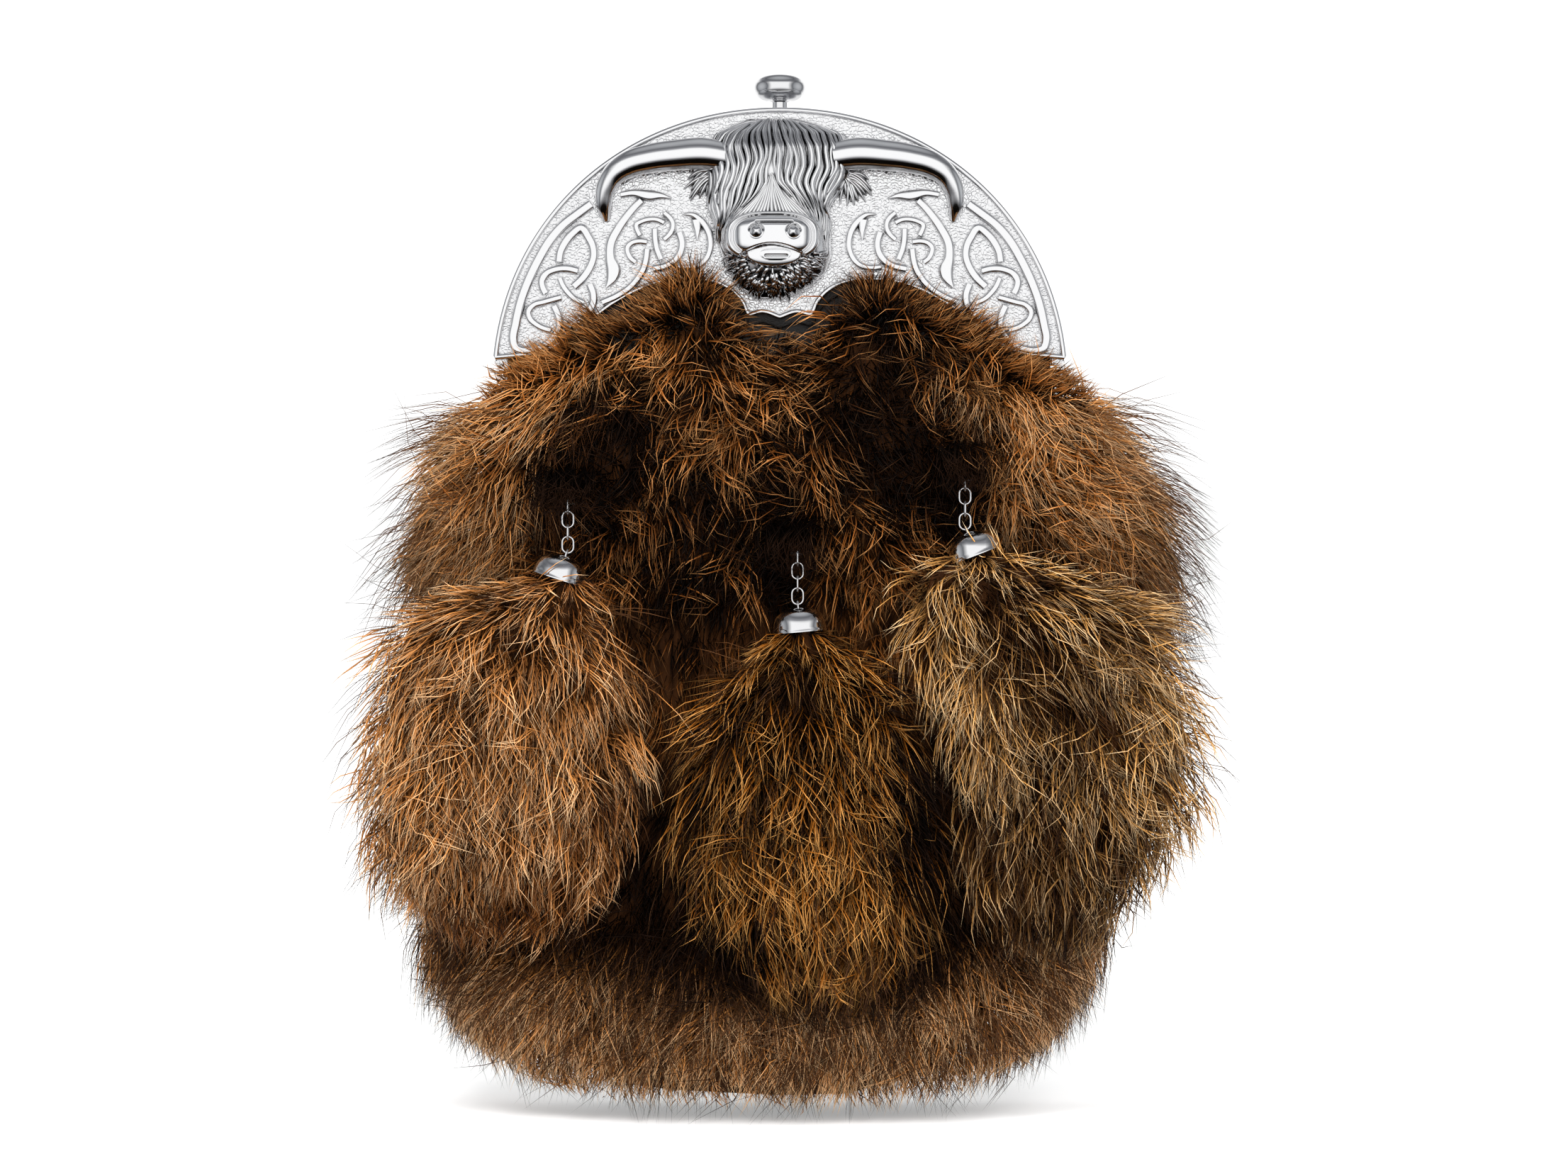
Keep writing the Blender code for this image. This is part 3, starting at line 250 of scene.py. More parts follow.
def make_piece(name, points, faces, material, attributes=None, smooth=True, sharp=None):
    """A mesh object from places in millimetres and arrays of faces, turned so that its volume is positive."""
    volume = 0.0
    for group in faces:
        corner = points[group]
        fan = np.cross(corner[:, 1:-1], corner[:, 2:])
        volume += np.sum(corner[:, :1] * fan)
    if volume < 0.0:
        faces = [group[:, ::-1] for group in faces]
    mesh = bpy.data.meshes.new(name)
    counts = np.concatenate([np.full(len(group), group.shape[1]) for group in faces])
    corners = np.concatenate([group.ravel() for group in faces])
    mesh.vertices.add(len(points))
    mesh.vertices.foreach_set("co", shown(points).astype(np.float32).ravel())
    mesh.loops.add(len(corners))
    mesh.loops.foreach_set("vertex_index", corners.astype(np.int32))
    mesh.polygons.add(len(counts))
    mesh.polygons.foreach_set("loop_start", (np.cumsum(counts) - counts).astype(np.int32))
    mesh.polygons.foreach_set("loop_total", counts.astype(np.int32))
    mesh.polygons.foreach_set("use_smooth", np.full(len(counts), smooth))
    mesh.update(calc_edges=True)
    if sharp:
        mesh.set_sharp_from_angle(angle=math.radians(sharp))
    for key, values in (attributes or {}).items():
        mesh.attributes.new(key, "FLOAT", "POINT").data.foreach_set("value", np.asarray(values, np.float32))
    mesh.materials.append(material)
    piece = bpy.data.objects.new(name, mesh)
    SCENE.collection.objects.link(piece)
    return piece


def smoothed(rows, step, measured=2):
    """A smooth run through rows at even steps: a cubic between neighbours, with slopes read across each row.

    The run's length is measured on the first columns alone, and the others follow along.
    """
    rows = np.asarray(rows, float)
    lengths = np.linalg.norm(np.diff(rows[:, :measured], axis=0), axis=1)
    run = np.concatenate([[0.0], np.cumsum(lengths)])
    slope = np.gradient(rows, run, axis=0)
    at = np.linspace(0.0, run[-1], max(int(round(run[-1] / step)), 2) + 1)
    index = np.clip(np.searchsorted(run, at, side="right") - 1, 0, len(run) - 2)
    span = (run[index + 1] - run[index])[:, None]
    t = (at - run[index])[:, None] / span
    ease = 3.0 * t ** 2 - 2.0 * t ** 3
    leave, reach = t ** 3 - 2.0 * t ** 2 + t, t ** 3 - t ** 2
    return (1.0 - ease) * rows[index] + ease * rows[index + 1] + span * (leave * slope[index]
                                                                       + reach * slope[index + 1])


def carried(path, front, section, width=1.0, height=1.0, closed=False):
    """A closed section carried along a path: each point is path + s * width * side + h * height * front.

    The side stands square to the path and to the front, and width and height may change along the path.
    """
    path = np.asarray(path, float)
    ahead = np.roll(path, -1, axis=0) - np.roll(path, 1, axis=0) if closed else np.gradient(path, axis=0)
    ahead = unit(ahead)
    side = unit(np.cross(ahead, np.broadcast_to(front, path.shape)))
    front = unit(np.cross(side, ahead))
    section = np.asarray(section, float)
    width = np.broadcast_to(width, len(path))[:, None, None]
    height = np.broadcast_to(height, len(path))[:, None, None]
    rings = (path[:, None, :] + section[None, :, :1] * width * side[:, None, :]
             + section[None, :, 1:] * height * front[:, None, :])
    if closed:
        return rings.reshape(-1, 3), [looped_faces(*rings.shape[:2], closed=True)]
    return rings.reshape(-1, 3), tube_faces(*rings.shape[:2])


def round_section(sides):
    """A circle of radius 1 as (side, front) places."""
    around = np.arange(sides) * math.tau / sides
    return np.stack([np.cos(around), np.sin(around)], axis=1)


def joined(shapes):
    """Several shapes as one, with the corner numbers of each moved past those before it."""
    start = np.cumsum([0] + [len(points) for points, _ in shapes[:-1]])
    faces = [group + first for (_, groups), first in zip(shapes, start) for group in groups]
    return np.concatenate([points for points, _ in shapes]), faces


def arch_top(x, inset):
    """Height of the arch over x: z = zc + b (1 - |x / a|^p)^(1 / p), drawn in by the inset."""
    share = np.minimum(np.abs(x) / (ARCH_HALF_WIDTH - inset), 1.0)
    return ARCH_Z + (ARCH_HEIGHT - inset) * (1.0 - share ** ARCH_POWER) ** (1.0 / ARCH_POWER)


def arch_place(angle, inset):
    """X and height on the arch, drawn in by the inset: a sign(cos) |cos|^(2 / p) and zc + b |sin|^(2 / p)."""
    x = (ARCH_HALF_WIDTH - inset) * np.sign(np.cos(angle)) * np.abs(np.cos(angle)) ** (2.0 / ARCH_POWER)
    return x, ARCH_Z + (ARCH_HEIGHT - inset) * np.abs(np.sin(angle)) ** (2.0 / ARCH_POWER)


def bag_reach(z, part):
    """One column of the bag's table at a height."""
    return np.interp(z, BAG_ROWS[:, 0], BAG_ROWS[:, part])


def bag_face(side_share, depth_share, top, level, wall):
    """The bag's skin: x = side share times the half width, y between the front and the back by depth share.

    The front bulges by 1 - share^2, and each column runs from the bottom to its own top edge. The outside of
    the back is uneven by up to half a millimetre.
    """
    bottom = BAG_BOTTOM_Z + wall
    z = bottom + (top - bottom) * level
    half = bag_reach(z, 1)
    front = bag_reach(z, 2) - bag_reach(z, 3) * (1.0 - side_share ** 2) + wall
    uneven = 0.5 * (wall == 0.0) * soft_noise(side_share * 4.0 + 9.0, z / 24.0, 3) * depth_share
    back = BAG_BACK_Y - wall - uneven
    return np.stack([side_share * (half - wall), front + (back - front) * depth_share, z], axis=-1)


hide = bpy.data.materials.new("black_cowhide")      # satin aniline hide: pebbled grain and a faint mottle
hide.use_nodes = True
HIDE_GRAIN_MM = 0.9
tree = hide.node_tree
place = add_node(tree, "ShaderNodeTexCoord")
grain = add_node(tree, "ShaderNodeTexVoronoi",
                 {"feature": "DISTANCE_TO_EDGE", "Scale": 1000.0 / HIDE_GRAIN_MM},
                 {"Vector": place.outputs["Object"]})
pebbles = add_node(tree, "ShaderNodeMapRange", {"From Max": 0.22}, {"Value": grain.outputs["Distance"]})
mottle = add_node(tree, "ShaderNodeTexNoise", {"Scale": 70.0, "Detail": 5.0},
                  {"Vector": place.outputs["Object"]})
colour = add_node(tree, "ShaderNodeValToRGB", {"stops": ((0.3, "#0C0A09"), (0.7, "#221D19"))},
                  {"Fac": mottle.outputs["Fac"]})
gloss = add_node(tree, "ShaderNodeMapRange", {"To Min": 0.34, "To Max": 0.58},
                 {"Value": mottle.outputs["Fac"]})
relief = add_node(tree, "ShaderNodeBump", {"Strength": 0.35, "Distance": 0.00012},
                  {"Height": pebbles.outputs[0]})
shader = tree.nodes["Principled BSDF"]
for socket, source in (("Base Color", colour.outputs["Color"]), ("Roughness", gloss.outputs[0]),
                       ("Normal", relief.outputs["Normal"])):
    tree.links.new(source, shader.inputs[socket])

PANEL_COLUMNS, GUSSET_COLUMNS = 61, 13   # points across a panel and through the bag's depth
OUTER_LEVELS, INNER_LEVELS = 28, 12      # over the bottom's bend, outside and inside
back_shares = np.linspace(0.95, -0.95, PANEL_COLUMNS)
front_shares = np.linspace(-0.96, 0.96, PANEL_COLUMNS)
gusset_depths = np.linspace(0.88, 0.12, GUSSET_COLUMNS)
ones = np.ones(GUSSET_COLUMNS)
side_share = np.concatenate([back_shares, -ones, front_shares, ones])
depth_share = np.concatenate([np.ones(PANEL_COLUMNS), gusset_depths,
                              np.zeros(PANEL_COLUMNS), gusset_depths[::-1]])
top = np.concatenate([arch_top(back_shares * MOUTH_HALF_WIDTH, MOUTH_INSETS[1]), GUSSET_TOP_Z * ones,
                      arch_top(front_shares * MOUTH_HALF_WIDTH, MOUTH_INSETS[0]), GUSSET_TOP_Z * ones])
outer_levels = np.concatenate([[0.0, 0.01, 0.03], np.linspace(0.06, 1.0, OUTER_LEVELS)])[:, None]
inner_levels = np.concatenate([np.linspace(1.0, 0.06, INNER_LEVELS), [0.03, 0.0]])[:, None]
rings = np.concatenate([bag_face(side_share, depth_share, top, outer_levels, 0.0),
                        bag_face(side_share, depth_share, top, inner_levels, WALL)])
bag = make_piece("leather_bag", rings.reshape(-1, 3), tube_faces(*rings.shape[:2]), hide)
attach(bag, "sporran")
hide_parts("pouch_shell")

# belt loop from the side: y and height of the strip's middle, foot to foot
LOOP_PATH = ((13.4, 118.2), (13.4, 122.0), (13.45, 125.4), (14.6, 127.6), (17.4, 128.6), (19.2, 130.2),
             (19.6, 133.0), (19.6, 143.0), (19.6, 153.0), (19.2, 155.8), (17.4, 157.4), (14.6, 158.4),
             (13.45, 160.6), (13.4, 164.0), (13.4, 167.8))
STRIP_SECTION = ((-9.0, -0.6), (-8.6, -0.95), (0.0, -1.0), (8.6, -0.95), (9.0, -0.6), (9.0, 0.6), (8.6, 0.95),
                 (0.0, 1.0), (-8.6, 0.95), (-9.0, 0.6))
for side, label in ((-1, "left"), (1, "right")):
    route = smoothed(LOOP_PATH, 0.8)
    path = np.stack([np.full(len(route), side * LOOP_CENTRE_X), route[:, 0], route[:, 1]], axis=1)
    points, faces = carried(path, BACKWARDS, STRIP_SECTION)
    strip = make_piece(f"belt_strap_{label}", points, faces, hide, sharp=40.0)
    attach(strip, "sporran")
    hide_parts(f"belt_loop_{label}")

thread = bpy.data.materials.new("waxed_linen_thread")   # twisted and waxed: dull, paler than the hide
thread.use_nodes = True
tree = thread.node_tree
place = add_node(tree, "ShaderNodeTexCoord")
twist = add_node(tree, "ShaderNodeTexWave",
                 {"Scale": 500.0, "Distortion": 1.0, "bands_direction": "DIAGONAL"},
                 {"Vector": place.outputs["Object"]})
colour = add_node(tree, "ShaderNodeValToRGB", {"stops": ((0.0, "#1F1A16"), (1.0, "#4A423A"))},
                  {"Fac": twist.outputs["Fac"]})
tree.links.new(colour.outputs["Color"], tree.nodes["Principled BSDF"].inputs["Base Color"])
tree.nodes["Principled BSDF"].inputs["Roughness"].default_value = 0.6


def stitches(line, front):
    """Stitches along a line at one pitch: each a short length of thread that thins towards its ends."""
    line = np.asarray(line, float)
    run = np.concatenate([[0.0], np.cumsum(np.linalg.norm(np.diff(line, axis=0), axis=1))])
    middles = np.arange(STITCH_PITCH / 2.0, run[-1], STITCH_PITCH)
    offsets = np.array((-0.5, -0.3, 0.3, 0.5)) * STITCH_LENGTH
    sizes = np.array((0.35, 1.0, 1.0, 0.35)) * STITCH_RADIUS
    shapes = []
    for middle in middles:
        path = np.stack([np.interp(middle + offsets, run, line[:, axis]) for axis in range(3)], axis=1)
        shapes.append(carried(path, front, round_section(6), sizes, sizes))
    return shapes


# the back panel's seams: heights of the ends at the sides; half width and lowest height at the bottom
SIDE_SEAM_Z = (30.0, 188.0)
BOTTOM_SEAM_HALF, BOTTOM_SEAM_Z = 44.0, 20.0
SEAM_Y = BAG_BACK_Y - 0.1
# the loops' seams: how far from a loop's middle, on the outside of its feet, and from and to which height
FOOT_SEAM_X, FOOT_SEAM_Y = (-6.6, 6.6), 14.45
FOOT_SEAM_Z = ((118.8, 127.0), (159.6, 167.4))
edge_z = np.linspace(*SIDE_SEAM_Z, 60)
edge = np.stack([bag_reach(edge_z, 1) * 0.95 - 4.0, np.full_like(edge_z, SEAM_Y), edge_z], axis=1)
bottom_x = np.linspace(-BOTTOM_SEAM_HALF, BOTTOM_SEAM_HALF, 40)
bottom_z = BOTTOM_SEAM_Z + 10.0 * (np.abs(bottom_x) / BOTTOM_SEAM_HALF) ** 4
bottom = np.stack([bottom_x, np.full_like(bottom_x, SEAM_Y), bottom_z], axis=1)
seams = [edge, edge * (-1.0, 1.0, 1.0), bottom]
for side in (-1, 1):
    for offset in FOOT_SEAM_X:
        for span in FOOT_SEAM_Z:
            seams.append([(side * LOOP_CENTRE_X + offset, FOOT_SEAM_Y, z) for z in span])
sewn = [stitch for seam in seams for stitch in stitches(seam, BACKWARDS)]
stitching = make_piece("back_stitching", *joined(sewn), thread)
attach(stitching, "sporran")

# ---------------------------------------------------------------- leather strip behind the cantle
# A turned strip of the same hide follows the scalloped lower edge of the cantle and shows 2 mm under it, so
# that the casting doesn't cut into the fur.

# the cantle's lower edge from the centre outwards: distance from the centre, height
LOWER_EDGE = (
    (0.0, 208.1), (4.6, 209.6), (8.4, 208.9), (10.6, 212.8), (12.6, 215.0), (16.7, 217.2), (22.3, 218.0),
    (34.7, 216.3), (38.3, 214.7), (43.8, 211.6), (48.8, 207.8), (57.6, 201.1), (61.3, 199.4), (65.7, 198.4),
)
CORNER_X, CORNER_Z = 75.2, 197.6
# the strip's section: how far below its middle line, how far in front of it
BACKING_HALF = 4.4
BACKING_SECTION = ((-BACKING_HALF, -0.65), (-BACKING_HALF, 0.65), (3.6, 0.65), (4.2, 0.45),
                   (BACKING_HALF, 0.0), (4.2, -0.45), (3.6, -0.65))
BACKING_Y = -14.2
BACKING_SHOWS = 2.2
BACKING_ENDS = (68.0, 69.4)              # the strip's last places, past the scallops

half_edge = smoothed(LOWER_EDGE, 0.5)
lower_edge = np.concatenate([half_edge[:0:-1] * (-1.0, 1.0), half_edge])
edge_x, edge_z = smoothed(LOWER_EDGE, 1.0).T
half_x = np.concatenate([edge_x, BACKING_ENDS])
strip_x = np.concatenate([-half_x[:0:-1], half_x])[:, None]
strip_z = np.interp(np.abs(strip_x), edge_x, edge_z) - BACKING_SHOWS + BACKING_HALF
below, before = np.array(BACKING_SECTION).T
rings = np.stack(np.broadcast_arrays(strip_x, BACKING_Y - before, strip_z - below), axis=-1)
backing = make_piece("cantle_leather_strip", rings.reshape(-1, 3), tube_faces(*rings.shape[:2]), hide,
                     sharp=40.0)
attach(backing, "sporran")
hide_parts("cantle_backing")

# ---------------------------------------------------------------- metal frame, rivets and knob
# Two flat arches of steel, hinged on a rivet at each end and chromed. The turned ball on top is the push
# button of the catch, and its stem runs through a collar into the arch.

chrome = bpy.data.materials.new("polished_chrome_plate")     # mirror-bright plating with faint scuffs
chrome.use_nodes = True
tree = chrome.node_tree
place = add_node(tree, "ShaderNodeTexCoord")
scuffs = add_node(tree, "ShaderNodeTexNoise", {"Scale": 260.0, "Detail": 6.0},
                  {"Vector": place.outputs["Object"]})
gloss = add_node(tree, "ShaderNodeMapRange",
                 {"From Min": 0.3, "From Max": 0.75, "To Min": 0.05, "To Max": 0.16},
                 {"Value": scuffs.outputs["Fac"]})
shader = tree.nodes["Principled BSDF"]
shader.inputs["Base Color"].default_value = linear("#E9E9EA")
shader.inputs["Metallic"].default_value = 1.0
tree.links.new(gloss.outputs[0], shader.inputs["Roughness"])
for label in ("frame_front", "frame_back", "hinge_rivet_left", "hinge_rivet_right",
              "staple_left", "staple_centre", "staple_right"):
    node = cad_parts[label]
    node.data.materials.clear()
    node.data.materials.append(chrome)

# the arches' outer faces, rolled smooth: a thin band each, which stops at the collar that the knob runs in
BAND_HALF, BAND_PROUD = 0.24, 0.14
BAND_SECTION = ((-1.0, -1.0), (0.3, -1.0), (1.0, -0.97), (1.0, 0.97), (0.3, 1.0), (-1.0, 1.0))
BAND_INSET = 0.6 + BAND_HALF - BAND_PROUD
BAND_STEPS = 40.0                        # for each radian of the arch
COLLAR_CLEAR = 2.6
for label in ("frame_front", "frame_back"):
    low, high = (np.subtract(corner, SHIFT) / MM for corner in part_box(label))
    start = math.asin(((low[2] - ARCH_Z) / (ARCH_HEIGHT - BAND_INSET)) ** (ARCH_POWER / 2.0))
    stop = math.acos((COLLAR_CLEAR / (ARCH_HALF_WIDTH - BAND_INSET)) ** (ARCH_POWER / 2.0))
    halves = ((start, stop), (math.pi - stop, math.pi - start))
    bands = []
    for first, last in halves if label == "frame_front" else ((start, math.pi - start),):
        turn = np.linspace(first, last, int((last - first) * BAND_STEPS))
        x, z = arch_place(turn, BAND_INSET)
        path = np.stack([x, np.full(len(turn), (low[1] + high[1]) / 2.0), z], axis=1)
        bands.append(carried(path, FRONTWARDS, BAND_SECTION, BAND_HALF, (high[1] - low[1]) / 2.0))
    band = make_piece(f"{label}_band", *joined(bands), chrome, sharp=15.0)
    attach(band, "sporran")

KNOB_Y = -7.3
KNOB_SIDES = 64
# the knob from its disc under the arch up over the ball: radius, height
KNOB_ROWS = np.array((
    (0.0, 258.6), (2.9, 258.7), (3.2, 258.9), (3.2, 260.9), (3.0, 261.2), (2.0, 261.3), (2.0, 266.2),
    (2.4, 266.5), (3.5, 266.6), (4.8, 267.0), (5.8, 267.7), (6.5, 268.7), (6.85, 270.0), (6.65, 271.3),
    (5.9, 272.3), (4.7, 273.0), (3.0, 273.4), (1.3, 273.57), (0.0, 273.6),
))
BALL_ROW = 6                             # the first row of the ball, which is drawn as a smooth run
fine = np.concatenate([KNOB_ROWS[:BALL_ROW], smoothed(KNOB_ROWS[BALL_ROW:], 0.35)[:-1], KNOB_ROWS[-1:]])
around = np.arange(KNOB_SIDES) * math.tau / KNOB_SIDES
inner = fine[1:-1]
skin = np.stack([inner[:, :1] * np.cos(around), KNOB_Y + inner[:, :1] * np.sin(around),
                 inner[:, 1:] + 0.0 * around], axis=-1)
knob = make_piece("ball_knob", skin.reshape(-1, 3), tube_faces(*skin.shape[:2]), chrome, sharp=50.0)
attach(knob, "knob")
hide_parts("knob")

# ---------------------------------------------------------------- cantle
# One casting in white metal, chromed and buffed: a highland cow's head with long horns between two panels of
# interlace on a hammered ground, inside a raised bead. It is screwed to the front arch from behind.

BEAD_HALF = 0.68
BEAD_SECTION = ((-1.0, -1.8), (-1.0, 0.3), (-0.86, 0.62), (-0.5, 0.82), (0.0, 0.88), (0.5, 0.8), (0.84, 0.5),
                (1.0, -0.1), (1.0, -1.8))
GROUND_COLUMNS, GROUND_ROWS = 240, 62
GROUND_INSET = 0.5


def plate_front(x, z, proud):
    """Places on the plate, standing proud of its front."""
    x, z, proud = np.broadcast_arrays(x, z, proud)
    return np.stack([x, PLATE_FRONT_Y - proud, z], axis=-1)


def evenly(run, count):
    """The same run of points at even distances."""
    length = np.concatenate([[0.0], np.cumsum(np.linalg.norm(np.diff(run, axis=0), axis=1))])
    at = np.linspace(0.0, length[-1], count)
    return np.stack([np.interp(at, length, run[:, axis]) for axis in range(run.shape[1])], axis=1)


cast = bpy.data.materials.new("chromed_casting")    # the same plating over a hand-finished casting
cast.use_nodes = True
CHASING_MM = 0.85                        # between the fine wavy lines that are chased into the ground
tree = cast.node_tree
place = add_node(tree, "ShaderNodeTexCoord")
hammered = add_node(tree, "ShaderNodeAttribute", {"attribute_name": "hammered"})
sway = add_node(tree, "ShaderNodeTexNoise", {"Scale": 420.0, "Detail": 3.0},
                {"Vector": place.outputs["Object"]})
swayed = add_node(tree, "ShaderNodeVectorMath", {"operation": "MULTIPLY_ADD", 1: (0.0016, 0.0016, 0.0016)},
                  {0: sway.outputs["Color"], 2: place.outputs["Object"]})
cells = add_node(tree, "ShaderNodeTexVoronoi", {"feature": "DISTANCE_TO_EDGE", "Scale": 1000.0 / CHASING_MM},
                 {"Vector": swayed.outputs["Vector"]})
chased = add_node(tree, "ShaderNodeMapRange", {"From Max": 0.14}, {"Value": cells.outputs["Distance"]})
amount = add_node(tree, "ShaderNodeMath", {"operation": "MULTIPLY", 1: 0.55}, {0: hammered.outputs["Fac"]})
relief = add_node(tree, "ShaderNodeBump", {"Distance": 0.0001},
                  {"Height": chased.outputs[0], "Strength": amount.outputs[0]})
RECESS_MM = 1.1                          # how far a wall of relief casts painted shade on the ground beside it
recess = add_node(tree, "ShaderNodeAmbientOcclusion", {"samples": 6, "Distance": RECESS_MM * MM})
# painted shade and painted dark reflection: the plating turns near black where a wall of relief stands close
recess_shade = add_node(tree, "ShaderNodeValToRGB",
                   {"stops": ((0.28, "#1B1A1A"), (0.5, "#B4B4B6"), (0.72, "#F1F1F2"))},
                   {"Fac": recess.outputs["AO"]})
shader = tree.nodes["Principled BSDF"]
tree.links.new(recess_shade.outputs["Color"], shader.inputs["Base Color"])
shader.inputs["Metallic"].default_value = 1.0
shader.inputs["Roughness"].default_value = 0.12
tree.links.new(relief.outputs["Normal"], shader.inputs["Normal"])


def cast_piece(name, shape, hammer=0.0, **options):
    """One part of the casting, in the cantle's node and finish."""
    points, faces = shape
    piece = make_piece(name, points, faces, cast, {"hammered": np.full(len(points), hammer)}, **options)
    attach(piece, "sporran")
    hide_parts("cantle_plate")
    return piece


FINE_STEPS = 2001                        # for a run that is measured before it is divided evenly
arch_run = np.stack(arch_place(np.linspace(0.0, math.pi, FINE_STEPS), 0.0), axis=1)
arch_run = arch_run[arch_run[:, 1] >= CORNER_Z]
base_run = np.concatenate([[(-CORNER_X, CORNER_Z)], lower_edge, [(CORNER_X, CORNER_Z)]])


def drawn_in(outline, distance):
    """A closed outline moved inwards, each corner mitred."""
    normals = []
    for edge in (outline - np.roll(outline, 1, axis=0), np.roll(outline, -1, axis=0) - outline):
        edge = unit(edge)
        normals.append(np.stack([-edge[:, 1], edge[:, 0]], axis=1))
    stretch = 1.0 + np.sum(normals[0] * normals[1], axis=1, keepdims=True)
    return outline + distance * (normals[0] + normals[1]) / np.maximum(stretch, 0.4)


ARCH_POINTS, FOOT_POINTS = 240, 260      # of the outline, along the arch and along the lower edge
outline = np.concatenate([evenly(arch_run, ARCH_POINTS), evenly(base_run, FOOT_POINTS)[1:-1]])
bead_line = drawn_in(outline, BEAD_HALF)
bead_path = plate_front(bead_line[:, 0], bead_line[:, 1], 0.0)
bead = carried(bead_path, FRONTWARDS, BEAD_SECTION, BEAD_HALF, closed=True)
cast_piece("cantle_bead", bead, sharp=60.0)

DIMPLE_MM, DIMPLE_HEIGHT = 1.7, 0.13     # of the hammer marks
ground_outline = drawn_in(outline, GROUND_INSET)
tops = evenly(ground_outline[:ARCH_POINTS][::-1], GROUND_COLUMNS)
feet = evenly(np.concatenate([ground_outline[ARCH_POINTS - 1:], ground_outline[:1]]), GROUND_COLUMNS)
level = np.linspace(0.0, 1.0, GROUND_ROWS)[:, None]
ground_x = feet[:, 0] + (tops[:, 0] - feet[:, 0]) * level
ground_z = feet[:, 1] + (tops[:, 1] - feet[:, 1]) * level
marks = soft_noise((ground_x + ground_z) / DIMPLE_MM, (ground_z - ground_x) / DIMPLE_MM + 300.0, 21)
front = plate_front(ground_x, ground_z, DIMPLE_HEIGHT * marks - 0.06)
back = plate_front(ground_x[[-1, 0]], ground_z[[-1, 0]], PLATE_FRONT_Y - PLATE_BACK_Y)
skin = np.concatenate([front, back])
ground = skin.reshape(-1, 3), [looped_faces(*skin.shape[:2])]
cast_piece("cantle_ground", ground, hammer=1.0, sharp=60.0)

# Interlace of one half: width or widths, then distance from the centre and height. A strand that passes under
# another stops short of it.
STRANDS = (
    ((2.7, 2.8, 2.8, 2.8, 2.8, 2.8, 2.8, 2.8, 2.7, 2.5, 2.3, 2.2, 2.2, 2.2, 2.2, 2.2, 2.2),
     ((49.4, 238.4), (52.7, 236.0), (57.0, 232.6), (60.3, 228.7), (63.2, 223.8), (65.9, 218.2), (67.8, 213.0),
      (69.2, 206.9), (69.8, 202.9), (69.2, 200.9), (67.2, 200.1), (64.3, 200.4), (61.4, 201.5), (59.2, 203.4),
      (57.7, 206.1), (57.9, 208.9), (59.1, 211.7))),
    (1.8, ((57.6, 219.0), (56.8, 217.1), (55.4, 215.2), (53.8, 213.7), (51.3, 212.5))),
    (2.2, ((52.9, 220.9), (55.4, 221.5), (58.6, 221.3), (61.1, 220.2), (62.3, 218.2), (62.0, 216.4),
           (61.3, 215.0))),
    (1.9, ((57.3, 214.0), (61.6, 212.8), (64.5, 211.9), (65.8, 210.3), (65.5, 208.6), (63.9, 207.0),
           (61.6, 205.8), (60.0, 205.4))),
    (2.4, ((57.8, 223.3), (57.4, 225.9), (56.2, 228.3), (54.3, 230.6), (51.9, 232.2), (50.2, 229.9),
           (49.0, 227.5), (48.7, 224.9), (49.6, 222.0), (51.4, 219.2), (53.9, 216.8))),
    (2.3, ((49.7, 217.4), (48.8, 214.8), (49.0, 212.0), (50.6, 209.5), (53.0, 207.5), (55.1, 206.3))),
    ((1.8, 2.0, 3.0, 2.0, 0.4), ((41.6, 240.8), (38.6, 241.3), (33.9, 240.6), (31.3, 240.6), (28.4, 239.9))),
    ((2.2, 2.3, 2.4, 2.6, 2.8, 3.1, 4.1, 3.2, 0.4),
     ((36.2, 239.3), (37.2, 238.4), (40.0, 235.2), (42.3, 231.9), (44.2, 228.0), (44.3, 223.9), (43.5, 221.0),
      (44.0, 218.9), (45.5, 216.4))),
    (1.7, ((30.3, 233.5), (32.0, 234.3), (34.0, 234.4), (36.0, 233.9), (37.6, 232.9), (37.2, 231.3),
           (36.6, 230.2))),
    (1.7, ((30.2, 236.1), (28.9, 235.0), (28.0, 233.4), (28.1, 231.8), (28.9, 230.4), (30.3, 229.1))),
    (2.0, ((32.7, 231.9), (32.6, 229.2), (32.2, 226.8), (31.1, 223.9))),
    (2.2, ((26.3, 231.0), (25.6, 228.4), (25.9, 225.9), (27.2, 223.8), (29.4, 222.3), (33.1, 221.4))),
    (1.8, ((34.8, 228.5), (36.8, 228.7), (38.8, 228.2), (39.9, 227.0), (39.7, 225.4), (38.9, 224.1),
           (37.7, 223.2))),
    (2.1, ((34.7, 226.6), (35.0, 224.0), (35.6, 221.6), (36.9, 219.2), (39.2, 216.6), (42.5, 214.4),
           (46.5, 212.6))),
    ((0.4, 1.5, 2.0, 2.0, 1.9, 1.8, 1.8, 1.8, 1.7),
     ((25.3, 235.7), (22.8, 235.6), (20.0, 233.4), (18.4, 230.2), (18.2, 227.0), (19.2, 224.2), (21.2, 222.3),
      (23.8, 221.7), (26.6, 221.9))),
    ((3.0, 2.0, 0.3), ((21.9, 234.3), (21.6, 231.6), (21.6, 228.9))),
)
